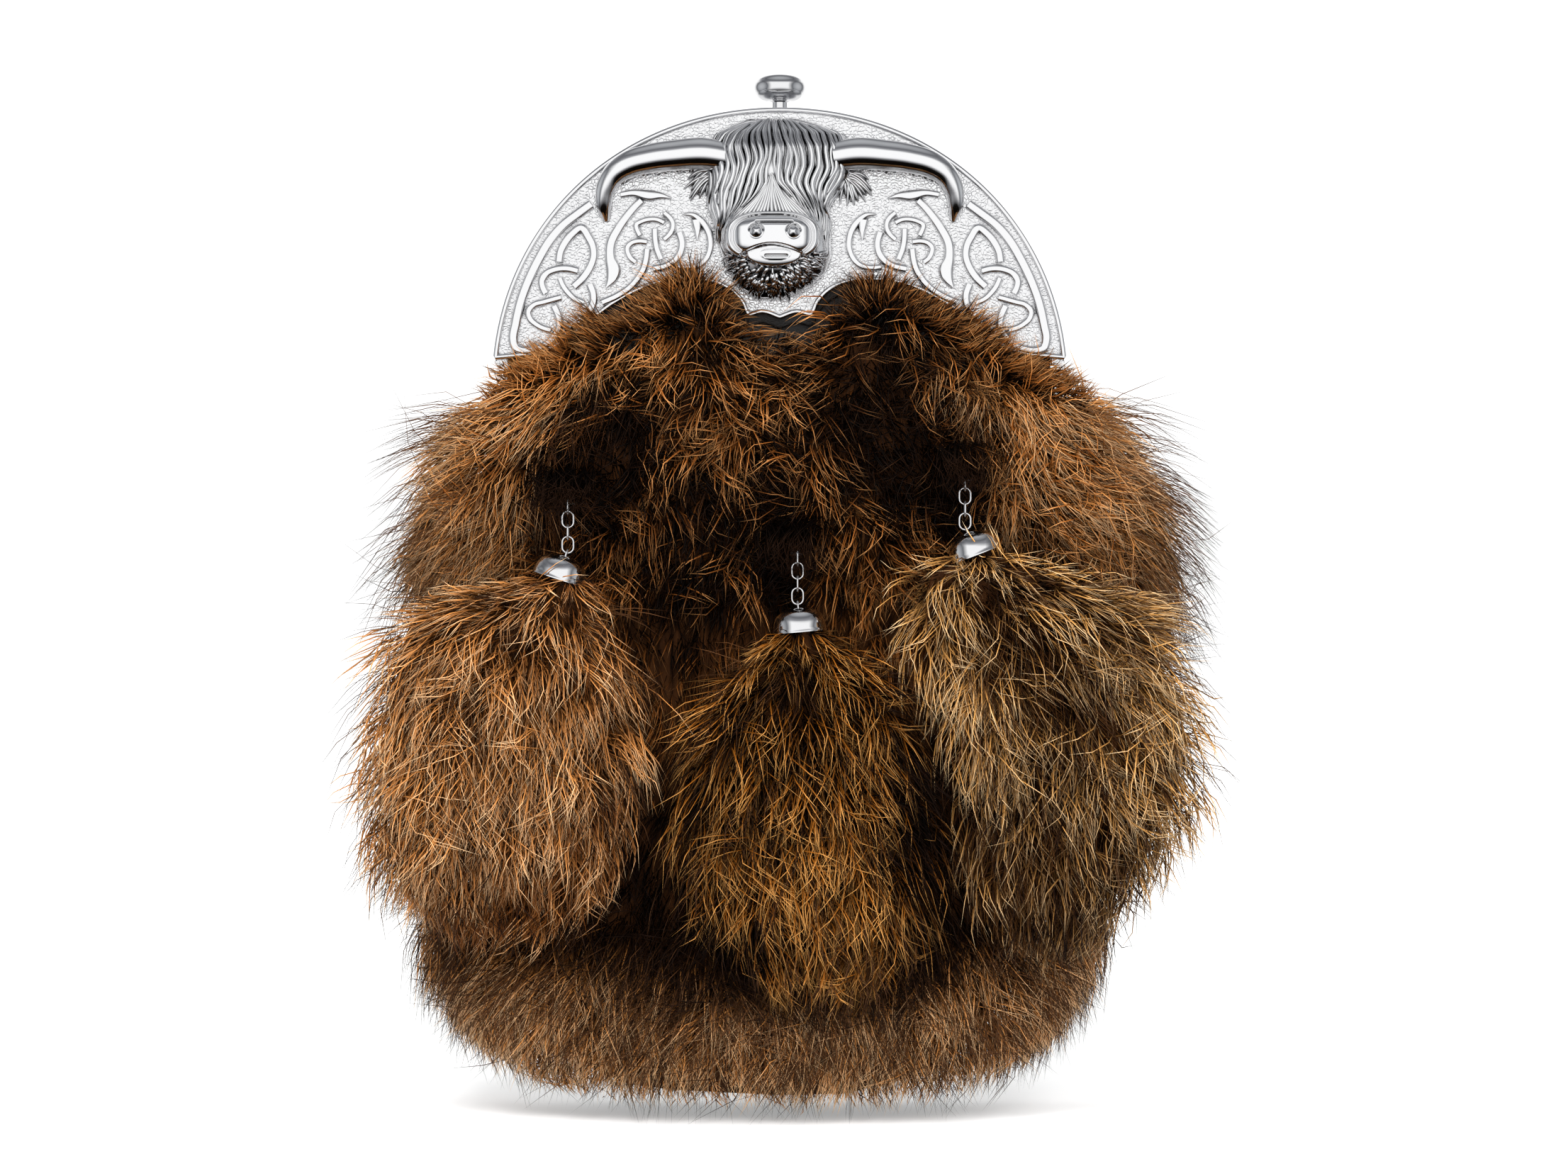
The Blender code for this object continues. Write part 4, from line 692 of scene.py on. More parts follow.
# a strand's section: share of the half width, height over the plate
STRAND_SECTION = ((-1.0, -0.5), (-0.97, 0.15), (-0.84, 0.85), (-0.66, 1.12), (-0.35, 1.2), (0.0, 1.22),
                  (0.35, 1.2), (0.66, 1.12), (0.84, 0.85), (0.97, 0.15), (1.0, -0.5))
STRAND_STEP = 0.55
woven = []
for side in (-1.0, 1.0):
    for widths, places in STRANDS:
        rows = np.column_stack([places, np.broadcast_to(widths, len(places))])
        run = smoothed(rows, STRAND_STEP)
        path = plate_front(side * run[:, 0], run[:, 1], 0.0)
        woven.append(carried(path, FRONTWARDS, STRAND_SECTION, run[:, 2] / 2.0))
cast_piece("cantle_interlace", joined(woven), sharp=75.0)

# the cow's head from beard to crown: height, left side, right side, how proud its middle stands
HEAD_ROWS = np.array((
    (213.4, -6.4, 1.4, 2.0), (216.6, -10.8, 7.8, 6.4), (220.4, -13.4, 12.0, 8.6),
    (225.0, -15.2, 13.6, 10.2), (231.0, -16.9, 13.3, 11.0), (237.0, -18.3, 13.0, 10.8),
    (242.0, -18.4, 15.6, 10.4), (247.0, -18.4, 18.2, 9.8), (253.0, -18.4, 18.8, 8.4),
    (256.4, -17.2, 16.6, 6.4), (259.0, -12.4, 10.6, 3.8), (260.6, -7.6, 4.6, 1.4),
))
HEAD_EDGE = 1.2                          # how proud the head's rim stands
HEAD_COLUMNS, HEAD_STEPS = 49, 70
FACE_X = -2.0                            # the face's own centre line, as the head looks a little to the left
# half width that the locks leave free for nose bridge and muzzle: height, half width
BRIDGE_ROWS = np.array(((222.0, 9.4), (226.0, 10.6), (231.0, 10.6), (235.0, 8.0), (239.0, 4.3), (243.0, 1.0),
                        (249.0, 0.0)))
# where a lock ends, by its share of the way from the face line to the head's side: share, height
LOCK_ENDS = np.array(((0.0, 240.5), (0.1, 236.5), (0.2, 235.0), (0.35, 234.0), (0.5, 232.5), (0.68, 229.5),
                      (0.85, 226.0), (1.0, 233.5)))
# a lock's section: share of the half width, share of the height
LOCK_SECTION = ((-1.0, -0.9), (-0.96, 0.1), (-0.72, 0.62), (-0.3, 0.94), (0.15, 1.0), (0.58, 0.78),
                (0.92, 0.25), (1.0, -0.9))
# shares of the way along a lock, and of its full width there
LOCK_TAPER = ((0.0, 0.12, 0.75, 1.0), (0.6, 1.0, 0.95, 0.22))
LOCK_STEP = 0.8


def well(distance, width):
    """A rounded groove's depth from 0 to 1: exp(-(distance / width)^2)."""
    return np.exp(-(distance / width) ** 2)


def step_up(value, start, end):
    """0 below start and 1 above end, by 3t^2 - 2t^3 between them."""
    t = np.clip((value - start) / (end - start), 0.0, 1.0)
    return t * t * (3.0 - 2.0 * t)


def core_proud(x, z):
    """How proud the bare head stands: rim + (middle - rim) (1 - |s|^3)^0.6, with s from side to side."""
    left, right, middle = (np.interp(z, HEAD_ROWS[:, 0], HEAD_ROWS[:, part]) for part in (1, 2, 3))
    share = np.clip((2.0 * x - left - right) / (right - left), -1.0, 1.0)
    return HEAD_EDGE + (middle - HEAD_EDGE) * (1.0 - np.abs(share) ** 3) ** 0.6


def forelock_shape(share, width, rise, wave, phase):
    """One lock from the crown down, bridge + |share| (reach - bridge) away from the face's centre line.

    It sways by wave sin(z / 1.9 + phase), parts from the others round the nose bridge, follows the bare head
    and stands a little proud of it.
    """
    top = 260.3 - 3.8 * abs(share) ** 2.2
    end = np.interp(abs(share), LOCK_ENDS[:, 0], LOCK_ENDS[:, 1]) + rise
    z = np.linspace(top, end, int((top - end) / LOCK_STEP) + 2)
    left, right = (np.interp(z, HEAD_ROWS[:, 0], HEAD_ROWS[:, part]) for part in (1, 2))
    reach = FACE_X - left if share < 0.0 else right - FACE_X
    bridge = np.interp(z, BRIDGE_ROWS[:, 0], BRIDGE_ROWS[:, 1])
    x = FACE_X + np.sign(share) * (bridge + abs(share) * (reach - bridge)) + wave * np.sin(z / 1.9 + phase)
    taper = np.interp(np.linspace(0.0, 1.0, len(z)), *LOCK_TAPER)
    path = plate_front(x, z, core_proud(x, z) - 0.1 + 0.4 * rise)
    return carried(path, FRONTWARDS, LOCK_SECTION, taper * width / 2.0, taper * width * 0.62)


level = np.linspace(HEAD_ROWS[0, 0], HEAD_ROWS[-1, 0], HEAD_STEPS)[:, None]
left, right = (np.interp(level, HEAD_ROWS[:, 0], HEAD_ROWS[:, part]) for part in (1, 2))
share = np.sin(np.linspace(-1.0, 1.0, HEAD_COLUMNS) * math.pi / 2.0)[None, :]
head_x, head_z = (left + right) / 2.0 + share * (right - left) / 2.0, level + 0.0 * share
front = plate_front(head_x, head_z, core_proud(head_x, head_z))
skin = np.concatenate([plate_front(left, level, -0.6), front, plate_front(right, level, -0.6)], axis=1)
cast_piece("cantle_head", (skin.reshape(-1, 3), tube_faces(*skin.shape[:2])), sharp=70.0)

dice = np.random.default_rng(6)
forelock = []
for side in (-1.0, 1.0):
    for share in np.linspace(0.04, 0.98, 14):
        forelock.append(forelock_shape(side * share, dice.uniform(1.25, 1.6), dice.uniform(-0.3, 0.6),
                                       dice.uniform(0.25, 0.45), 5.0 * share + dice.uniform(0.0, 1.0)))
    for share in np.linspace(0.1, 0.9, 9):
        share = share + dice.uniform(-0.03, 0.03)
        forelock.append(forelock_shape(side * share, dice.uniform(1.2, 1.9), dice.uniform(1.2, 2.2),
                                       dice.uniform(0.4, 0.7), 4.0 * share + dice.uniform(0.0, 1.6)))
cast_piece("cantle_forelock", joined(forelock), sharp=80.0)

# fine hair on the nose bridge fans out from its apex to the muzzle's upper edge
FAN_APEX_Z, FAN_FOOT_Z = 245.5, 233.9
FAN_LINES = 19
fan = []
for spread in np.linspace(-1.0, 1.0, FAN_LINES):
    t = np.linspace(0.0, 1.0, 18)
    x = FACE_X + spread * (0.7 + 10.2 * t ** 1.35) + 0.12 * np.sin(7.0 * t + 9.0 * spread)
    z = FAN_APEX_Z - 1.0 * abs(spread) - (FAN_APEX_Z - FAN_FOOT_Z) * t + 0.3 * (1.0 - abs(spread)) * t
    width = (0.35 + 0.95 * t) * dice.uniform(0.85, 1.15)
    rise = dice.uniform(-0.1, 0.45)
    path = plate_front(x, z, core_proud(x, z) + rise)
    fan.append(carried(path, FRONTWARDS, LOCK_SECTION, width / 2.0, width * 0.6))
cast_piece("cantle_nose_bridge", joined(fan), sharp=80.0)

PAD_CENTRE, PAD_HALF, PAD_POWER = (-1.9, 229.1), (9.9, 5.3), 2.6     # of the bare muzzle pad
NOSTRILS = ((-6.1, 230.2), (3.6, 230.1))
MUZZLE_BOX = ((-14.6, 10.8), (220.6, 236.4))
MUZZLE_STEP = 0.2


def muzzle_proud(x, z):
    """How proud the muzzle stands: a pad 12.2 + 2.2 sqrt(1 - r^3) with a rolled rim, and the chin below it.

    The pad stops at an arch over the chin. Wells cut the crease, the nostrils' crescents and the mouth, and
    the lip is raised. Past its rim the muzzle sinks into the bare head.
    """
    bare = core_proud(x, z) - 2.0
    radius = sum(np.abs((place - centre) / half) ** PAD_POWER
                 for place, centre, half in zip((x, z), PAD_CENTRE, PAD_HALF)) ** (1.0 / PAD_POWER)
    pad = 12.2 + 2.2 * np.sqrt(np.clip(1.0 - radius ** 3, 0.0, 1.0))
    for nostril_x, nostril_z in NOSTRILS:
        away = np.hypot(x - nostril_x, z - nostril_z)
        crescent = (0.3 + 0.5 * step_up(z - nostril_z, -0.4, 0.6)) * well(away - 1.75, 0.3)
        pad = pad + 0.75 * well(away, 1.2) - crescent
    crease = np.hypot(np.maximum(np.abs(x + 1.4) - 4.5, 0.0), z - 232.5)
    pad = pad - 1.0 * well(crease, 0.32)
    outside = step_up(radius, 1.0, 1.05)
    pad = pad * (1.0 - outside) + (11.75 + 0.7 * well(radius - 1.13, 0.07)) * outside
    sunk = step_up(radius, 1.2, 1.32)
    pad = pad * (1.0 - sunk) + bare * sunk
    arch = 227.2 - 0.04 * (x - FACE_X) ** 2
    pad = pad - 2.2 * step_up(arch - z, 0.0, 0.6)
    spot = np.hypot((x + 1.5) / 7.4, (z - 224.6) / 3.4)
    chin = 10.9 + 1.1 * np.sqrt(np.clip(1.0 - spot ** 2, 0.0, 1.0))
    lip = np.hypot((x + 1.1) / 4.2, (z - 224.4) / 1.6)
    chin = chin + 0.3 * np.sqrt(np.clip(1.0 - lip ** 2, 0.0, 1.0))
    mouth = np.hypot(np.maximum(np.abs(x + 0.9) - 2.7, 0.0), z - 223.9)
    chin = chin - 0.6 * well(mouth, 0.3)
    sunk = step_up(spot, 0.92, 1.2)
    return np.maximum(np.maximum(pad, chin * (1.0 - sunk) + bare * sunk), bare)


muzzle_x, muzzle_z = np.meshgrid(*(np.arange(*span, MUZZLE_STEP) for span in MUZZLE_BOX))
front = plate_front(muzzle_x, muzzle_z, muzzle_proud(muzzle_x, muzzle_z))
behind = plate_front(muzzle_x[[-1, 0]], muzzle_z[[-1, 0]], 0.5)
skin = np.concatenate([front, behind])
rows, columns = skin.shape[:2]
left_end, right_end = np.arange(rows)[None] * columns, np.arange(rows)[None, ::-1] * columns + columns - 1
muzzle = skin.reshape(-1, 3), [looped_faces(rows, columns), left_end, right_end]
cast_piece("cantle_muzzle", muzzle, sharp=80.0)

# one horn from its root in the head: distance from the centre, height, how proud its middle stands, radius
HORN_ROWS = (
    (14.0, 250.4, 4.2, 3.9), (20.0, 251.2, 4.4, 4.2), (27.0, 250.8, 4.2, 4.0), (33.5, 250.0, 4.0, 3.8),
    (39.5, 248.4, 3.6, 3.5), (43.6, 245.6, 3.1, 3.0), (45.6, 241.8, 2.5, 2.5), (46.0, 238.0, 1.5, 2.0),
    (45.4, 234.2, -0.1, 0.9),
)
HORN_SIDES = 32
horns = []
for side in (-1.0, 1.0):
    run = smoothed(HORN_ROWS, 0.8)
    path = plate_front(side * run[:, 0], run[:, 1], run[:, 2])
    horns.append(carried(path, FRONTWARDS, round_section(HORN_SIDES), run[:, 3], run[:, 3]))
cast_piece("cantle_horns", joined(horns), sharp=60.0)


def hair_shapes(paths, radius, sides=3, dice=None):
    """Closed hairs of three or more sides: rings round each path that swell and then taper to a point.

    paths holds (hair, place, xyz). A ring's side is square to the hair and to a random direction, and the
    last place is the tip. It also gives the share of the way along each hair for every point.
    """
    count, places = paths.shape[:2]
    rings = places - 1
    ahead = unit(np.gradient(paths, axis=1))
    side = unit(np.cross(ahead, dice.normal(size=(count, 1, 3))))
    other = np.cross(ahead, side)
    share = np.linspace(0.0, 1.0, places)
    swell = np.interp(share[:rings], (0.0, 0.35, 1.0), (0.75, 1.0, 0.3))
    around = np.arange(sides) * math.tau / sides
    reach = np.asarray(radius).reshape(-1, 1, 1, 1) * swell[None, :, None, None]
    ring = (np.cos(around)[None, None, :, None] * side[:, :rings, None, :]
            + np.sin(around)[None, None, :, None] * other[:, :rings, None, :])
    bodies = (paths[:, :rings, None, :] + reach * ring).reshape(count, rings * sides, 3)
    points = np.concatenate([bodies, paths[:, -1:, :]], axis=1).reshape(-1, 3)
    each = rings * sides + 1
    first = (np.arange(count) * each)[:, None, None]
    corner = np.arange(rings * sides).reshape(rings, sides)
    beside = np.roll(corner, -1, axis=1)
    walls = np.stack([corner[:-1], beside[:-1], beside[1:], corner[1:]], axis=-1).reshape(1, -1, 4)
    tips = np.stack([corner[-1], beside[-1], np.full(sides, rings * sides)], axis=-1)[None]
    foot = corner[0][::-1].reshape(1, 1, sides)
    faces = [(group + first).reshape(-1, group.shape[2]) for group in (walls, tips, foot)]
    return points, faces, np.tile(np.concatenate([np.repeat(share[:rings], sides), [1.0]]), count)


def bent(root, knee, tip, places):
    """A quadratic curve for each hair: (1 - t)^2 root + 2 t (1 - t) knee + t^2 tip."""
    t = np.linspace(0.0, 1.0, places)[None, :, None]
    return (1.0 - t) ** 2 * root[:, None] + 2.0 * t * (1.0 - t) * knee[:, None] + t ** 2 * tip[:, None]


# the beard: short tufts under the chin, each of which points away from the mouth
BEARD_TUFTS = 220
BEARD_CENTRE = (-1.4, 225.6)
dice = np.random.default_rng(4)
turn = np.radians(dice.uniform(-176.0, -4.0, BEARD_TUFTS))
reach = 3.1 + 7.9 * np.sqrt(dice.random(BEARD_TUFTS))
start_x, start_z = BEARD_CENTRE[0] + 1.1 * reach * np.cos(turn), BEARD_CENTRE[1] + reach * np.sin(turn)
turn = turn + dice.normal(0.0, 0.35, BEARD_TUFTS)
length = dice.uniform(1.6, 3.0, BEARD_TUFTS)
places = []
for share, rise in ((0.0, 0.2), (0.5, 1.1), (1.0, 0.3)):
    x, z = start_x + share * length * np.cos(turn), start_z + share * length * np.sin(turn)
    places.append(plate_front(x, z, core_proud(x, z) + rise + 0.4 * dice.random(BEARD_TUFTS)))
points, faces, _ = hair_shapes(bent(*places, 5), dice.uniform(0.35, 0.62, BEARD_TUFTS), 5, dice)
cast_piece("cantle_beard", (points, faces), sharp=80.0)

# the hairy ears under the horns: flat locks that spread outwards and down over the ground
EAR_ROOT = (17.4, 246.6)
EAR_LOCKS = 22
ears = []
for side in (-1.0, 1.0):
    for share in np.linspace(0.0, 1.0, EAR_LOCKS):
        turn = -math.radians(14.0 + 86.0 * share) + dice.normal(0.0, 0.09)
        t = np.linspace(0.0, 1.0, 11)
        length = dice.uniform(5.5, 8.5)
        x = EAR_ROOT[0] + dice.uniform(-0.8, 0.8) + length * t * math.cos(turn)
        z = EAR_ROOT[1] + dice.uniform(-1.6, 0.8) + length * t * math.sin(turn) + 0.9 * np.sin(math.pi * t)
        width = dice.uniform(0.8, 1.3) * np.interp(t, *LOCK_TAPER)
        path = plate_front(side * x, z, 1.7 * (1.0 - t) + 0.15)
        ears.append(carried(path, FRONTWARDS, LOCK_SECTION, width / 2.0, width * 0.55))
cast_piece("cantle_ears", joined(ears), sharp=80.0)

# ---------------------------------------------------------------- fur over the bag
# Long-haired pelt glued and sewn to the bag: short brown underwool, hairs in loose locks that are nearly
# black at the root and tawny at the tip, and dark, straight guard hairs that stand out round the outline. The
# roots' near-black is partly the hair's own colour and partly painted shade deep in the coat.

# the fur's outline by height: height, reach to the left, to the right and to the front
FUR_ROWS = np.array((
    (0.0, 55.0, 47.0, 28.0), (6.0, 64.0, 56.0, 32.5), (16.0, 76.0, 70.0, 35.5), (30.0, 87.0, 78.0, 32.0),
    (45.0, 94.0, 85.0, 26.0), (62.0, 96.0, 91.0, 22.0), (100.0, 94.0, 98.0, 22.0), (130.0, 94.0, 103.0, 22.0),
    (146.0, 99.0, 104.0, 25.0), (160.0, 95.0, 101.0, 29.0), (174.0, 92.0, 94.0, 31.0),
    (188.0, 80.0, 84.0, 30.0), (196.0, 75.0, 76.0, 28.5), (220.0, 72.0, 73.0, 24.0),
))
# where the fur ends at the top, over the plate's lower edge: x, height
FUR_TOP = np.array((
    (-80.0, 190.0), (-66.0, 190.5), (-58.0, 195.0), (-50.0, 203.0), (-38.0, 208.0), (-30.0, 213.5),
    (-24.0, 218.0), (-18.0, 213.0), (-12.0, 205.0), (-6.0, 202.0), (8.0, 202.0), (14.0, 205.0), (20.0, 212.0),
    (28.0, 217.0), (38.0, 211.0), (50.0, 204.0), (58.0, 195.0), (66.0, 190.5), (80.0, 190.0),
))
# how low the longest tips hang round the bottom: x, height
FUR_HEM = np.array((
    (-106.0, 46.0), (-102.0, 32.0), (-98.0, 21.0), (-86.0, 11.0), (-67.0, 4.4), (-45.0, 1.8), (0.0, 0.4),
    (34.0, 0.8), (54.0, 4.0), (75.0, 12.0), (87.0, 24.0), (93.0, 42.0), (100.0, 62.0), (106.0, 84.0),
))
FUR_BACK_Y = 10.6
SECTION_POWERS = (0.65, 0.5)             # under 1, so that the fur's section has full, rounded corners
CROWNS = ((-24.0, 216.0), (28.0, 215.0)) # the fur of each upper lobe falls away from here
PARTING_X = 2.0
SHOULDER_Z = (124.0, 146.0)              # between these heights the lobes' fur gives way to the lower fur
LOWER_SOURCE_Z = 172.0                   # the lower fur spreads from here
SWIRL_MM = 15.0                          # size of the swirls that the fur lies in
SWIRL_TURN = 2.4                         # how far apart the lie of two swirls can be, in radians


def hair_material(name, dark, light):
    """Animal hair, a dull horn-like fibre: dark and light are each the colours of root, middle and tip.

    The point's "along" runs from root to tip, and the hair's "tone" chooses between dark and light. The
    near-black towards the root is partly the hair's own colour and partly painted shade deep in the coat.
    """
    material = bpy.data.materials.new(name)
    material.use_nodes = True
    tree = material.node_tree
    along = add_node(tree, "ShaderNodeAttribute", {"attribute_name": "along"})
    tone = add_node(tree, "ShaderNodeAttribute", {"attribute_name": "tone"})
    ramps = [add_node(tree, "ShaderNodeValToRGB",
                      {"stops": ((0.15, colours[0]), (0.55, colours[1]), (0.95, colours[2]))},
                      {"Fac": along.outputs["Fac"]}) for colours in (dark, light)]
    mixed = add_node(tree, "ShaderNodeMix", {"data_type": "RGBA"},
                     {0: tone.outputs["Fac"], 6: ramps[0].outputs["Color"], 7: ramps[1].outputs["Color"]})
    shader = tree.nodes["Principled BSDF"]
    tree.links.new(mixed.outputs[2], shader.inputs["Base Color"])
    shader.inputs["Roughness"].default_value = 0.42
    shader.inputs["Specular IOR Level"].default_value = 0.12
    return material


# how far hairs may stand out from the middle of the whole: to the left and front, to the right and back
HAIR_REACH = np.array(((-122.5, -47.2), (122.5, 47.2))) - SHIFT[:2] / MM


def within_reach(paths):
    """Shortens hairs to (1 + s^-4)^(-1/4) of their length, where s is their room as a share of it."""
    root = paths[:, :1]
    way = (paths - root)[:, :, :2]
    room = np.where(way < 0.0, HAIR_REACH[0], HAIR_REACH[1]) - root[:, :, :2]
    share = (room / np.where(way < 0.0, np.minimum(way, -0.01), np.maximum(way, 0.01))).min(axis=(1, 2))
    return root + (paths - root) * ((1.0 + share ** -4.0) ** -0.25)[:, None, None]


def fur_piece(name, paths, radius, tone, material):
    """One field of hairs as a piece, with its along and tone."""
    points, faces, along = hair_shapes(within_reach(paths), radius, 3, dice)
    each = len(along) // len(paths)
    piece = make_piece(name, points, faces, material,
                       {"along": along, "tone": np.repeat(np.clip(tone, 0.0, 1.0), each)})
    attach(piece, "sporran")
    return piece


def coat(angle, z, out):
    """The fur's outer form, out millimetres proud: x = reach sin^0.65 and y = back - depth cos^0.5.

    The angle runs from -90 degrees on the left to 90 on the right.
    """
    left, right, front = (np.interp(z, FUR_ROWS[:, 0], FUR_ROWS[:, part]) + out for part in (1, 2, 3))
    x = np.where(angle < 0.0, left, right) * np.sign(angle) * np.abs(np.sin(angle)) ** SECTION_POWERS[0]
    y = FUR_BACK_Y - (front + FUR_BACK_Y) * np.clip(np.cos(angle), 0.0, 1.0) ** SECTION_POWERS[1]
    return np.stack([x, y, z + 0.0 * x], axis=-1)


COAT_MIDDLE_Z = 110.0                    # where the way round the fur is measured
fine_angle = np.linspace(-math.pi / 2.0, math.pi / 2.0, FINE_STEPS)
fine_run = coat(fine_angle, COAT_MIDDLE_Z, 0.0)
fine_length = np.concatenate([[0.0], np.cumsum(np.linalg.norm(np.diff(fine_run, axis=0), axis=1))])
fine_length /= fine_length[-1]


def around_coat(share, z, out):
    """The fur's outer form by the share, 0 to 1, of the way round its section from left to right."""
    return coat(np.interp(share, fine_length, fine_angle), z, out)


def coat_normal(share, z):
    """Outward direction, from short steps round the section and up."""
    across = around_coat(share + 0.004, z, 0.0) - around_coat(share - 0.004, z, 0.0)
    up = around_coat(share, z + 3.0, 0.0) - around_coat(share, z - 3.0, 0.0)
    return unit(np.cross(across, up))


def combed(points):
    """How the fur lies: away from the nearer crown on the lobes, and outwards and down from the middle below.

    Soft noise turns it by up to half of SWIRL_TURN to either side, less so at the sides and the bottom.
    """
    x, z = points[:, 0], points[:, 2]
    crown = np.where((x < PARTING_X)[:, None], CROWNS[0], CROWNS[1])
    upper = unit(np.stack([x - crown[:, 0], np.minimum(z - crown[:, 1], -4.0)], axis=1))
    lower = unit(np.stack([0.95 * x * np.clip(np.abs(x) / 70.0, 0.25, 1.0), z - LOWER_SOURCE_Z], axis=1))
    blend = step_up(z, *SHOULDER_Z)[:, None]
    flat = unit(upper * blend + lower * (1.0 - blend))
    calm = 0.25 + 0.75 * (1.0 - step_up(np.abs(x), 46.0, 80.0)) * step_up(z, 130.0, 160.0)
    turn = calm * SWIRL_TURN * (soft_noise(x / SWIRL_MM + 40.0, z / SWIRL_MM, 31) - 0.5)
    return np.stack([flat[:, 0] * np.cos(turn) - flat[:, 1] * np.sin(turn), 0.0 * x,
                     flat[:, 0] * np.sin(turn) + flat[:, 1] * np.cos(turn)], axis=1)


def grown(roots, normals, lie, length, lift, clump, pull, curl, stray, places=4):
    """Curved hairs: each rises between its lie and the normal and bends over, its tip drawn to its lock's."""
    lie = unit(lie - normals * np.sum(lie * normals, axis=1, keepdims=True))
    scatter = dice.normal(size=roots.shape)
    heading = unit(lie + lift[:, None] * normals + stray * scatter)
    rising = unit(lie + 2.0 * lift[:, None] * normals + 1.3 * stray * scatter)
    length = length[:, None]
    tips = roots + heading * length
    knees = roots + rising * length * 0.5
    size = clump.max() + 1
    members = np.maximum(np.bincount(clump, minlength=size), 1)
    sums = [np.bincount(clump, weights=tips[:, axis], minlength=size) for axis in range(3)]
    centres = np.stack(sums, axis=1) / members[:, None]
    tips = tips + (centres[clump] - tips) * pull[:, None]
    bend = curl * (0.85 * dice.normal(size=size)[clump] + 0.4 * dice.normal(size=len(roots)))
    return bent(roots, knees + unit(np.cross(lie, normals)) * bend[:, None] * length, tips, places)


def settled(paths, margin):
    """Shortens the hairs that would hang too low, so that their tips end margin millimetres over the hem."""
    roots, tips = paths[:, :1], paths[:, -1]
    lowest = np.interp(tips[:, 0], FUR_HEM[:, 0], FUR_HEM[:, 1]) + margin
    fall = np.maximum(roots[:, 0, 2] - tips[:, 2], 0.1)
    kept = np.where(tips[:, 2] < lowest, (roots[:, 0, 2] - lowest) / fall, 1.0)
    paths = roots + (paths - roots) * np.clip(kept, 0.12, 1.0)[:, None, None]
    paths[:, :, 2] = np.maximum(paths[:, :, 2], FUR_HEM[:, 1].min())
    return paths


# patches of darker or lighter fur: x, height, half width, half height, change of tone
PATCHES = np.array((
    (-47.0, 173.0, 12.5, 12.5, -1.8), (24.0, 186.0, 14.0, 20.0, -1.0), (33.0, 170.0, 12.0, 10.0, -0.9),
    (-1.0, 168.0, 3.5, 34.0, -0.5), (-19.0, 157.0, 10.0, 6.0, -0.9), (-25.0, 133.0, 13.0, 16.0, -0.8),
    (1.0, 146.0, 8.0, 15.0, -1.1), (46.0, 163.0, 8.0, 10.0, -1.0),
    (-55.0, 158.0, 9.0, 9.0, -1.2), (-16.0, 41.0, 34.0, 10.0, -2.0), (20.0, 40.0, 36.0, 9.5, -1.9),
    (45.0, 76.0, 11.0, 26.0, -1.4), (-42.0, 62.0, 12.0, 20.0, -1.1), (-68.0, 50.0, 24.0, 6.0, -0.7),
    (71.0, 141.0, 20.0, 5.0, -0.6), (-17.0, 196.0, 6.0, 12.0, -0.4), (52.0, 187.0, 7.0, 9.0, -0.4),
    (-88.0, 170.0, 24.0, 26.0, 0.3), (88.0, 172.0, 26.0, 30.0, 0.3), (-75.0, 22.0, 26.0, 16.0, 0.9),
    (72.0, 26.0, 24.0, 20.0, 0.8), (0.0, 12.0, 60.0, 13.0, 0.6), (-62.0, 192.0, 16.0, 12.0, 0.7),
    (62.0, 190.0, 14.0, 10.0, 0.4),
))


def patched(paths, patches, ends=(0, -1)):
    """Change of tone of each hair: the sum of its patches' changes times exp(-(dx / w)^2 - (dz / h)^2).

    It is read at the ends that are named, and the darker one counts.
    """
    changes = []
    for end in ends:
        away_x = (paths[:, end, :1] - patches[:, 0]) / patches[:, 2]
        away_z = (paths[:, end, 2:] - patches[:, 1]) / patches[:, 3]
        changes.append(np.sum(np.exp(-away_x ** 2 - away_z ** 2) * patches[:, 4], axis=1))
    return np.min(changes, axis=0)


fur_hair = hair_material("tawny_guard_hair",
                         ("#020101", "#090402", "#241308"), ("#120702", "#8E521F", "#F0B070"))
side_hair = hair_material("tan_guard_hair",
                          ("#050302", "#1E1007", "#503018"), ("#482810", "#C08044", "#FFD8A8"))
fur_wool = bpy.data.materials.new("brown_underwool")    # felted: matt, soft brown, with upright streaks
fur_wool.use_nodes = True
tree = fur_wool.node_tree
place = add_node(tree, "ShaderNodeTexCoord")
stretch = add_node(tree, "ShaderNodeMapping", {"Scale": (500.0, 500.0, 60.0)},
                   {"Vector": place.outputs["Object"]})
streaks = add_node(tree, "ShaderNodeTexNoise", {"Scale": 1.0, "Detail": 4.0},
                   {"Vector": stretch.outputs["Vector"]})
colour = add_node(tree, "ShaderNodeValToRGB", {"stops": ((0.3, "#140A05"), (0.7, "#3E2411"))},
                  {"Fac": streaks.outputs["Fac"]})
relief = add_node(tree, "ShaderNodeBump", {"Strength": 0.8, "Distance": 0.0008},
                  {"Height": streaks.outputs["Fac"]})
shader = tree.nodes["Principled BSDF"]
tree.links.new(colour.outputs["Color"], shader.inputs["Base Color"])
tree.links.new(relief.outputs["Normal"], shader.inputs["Normal"])
shader.inputs["Roughness"].default_value = 0.95
shader.inputs["Specular IOR Level"].default_value = 0.1

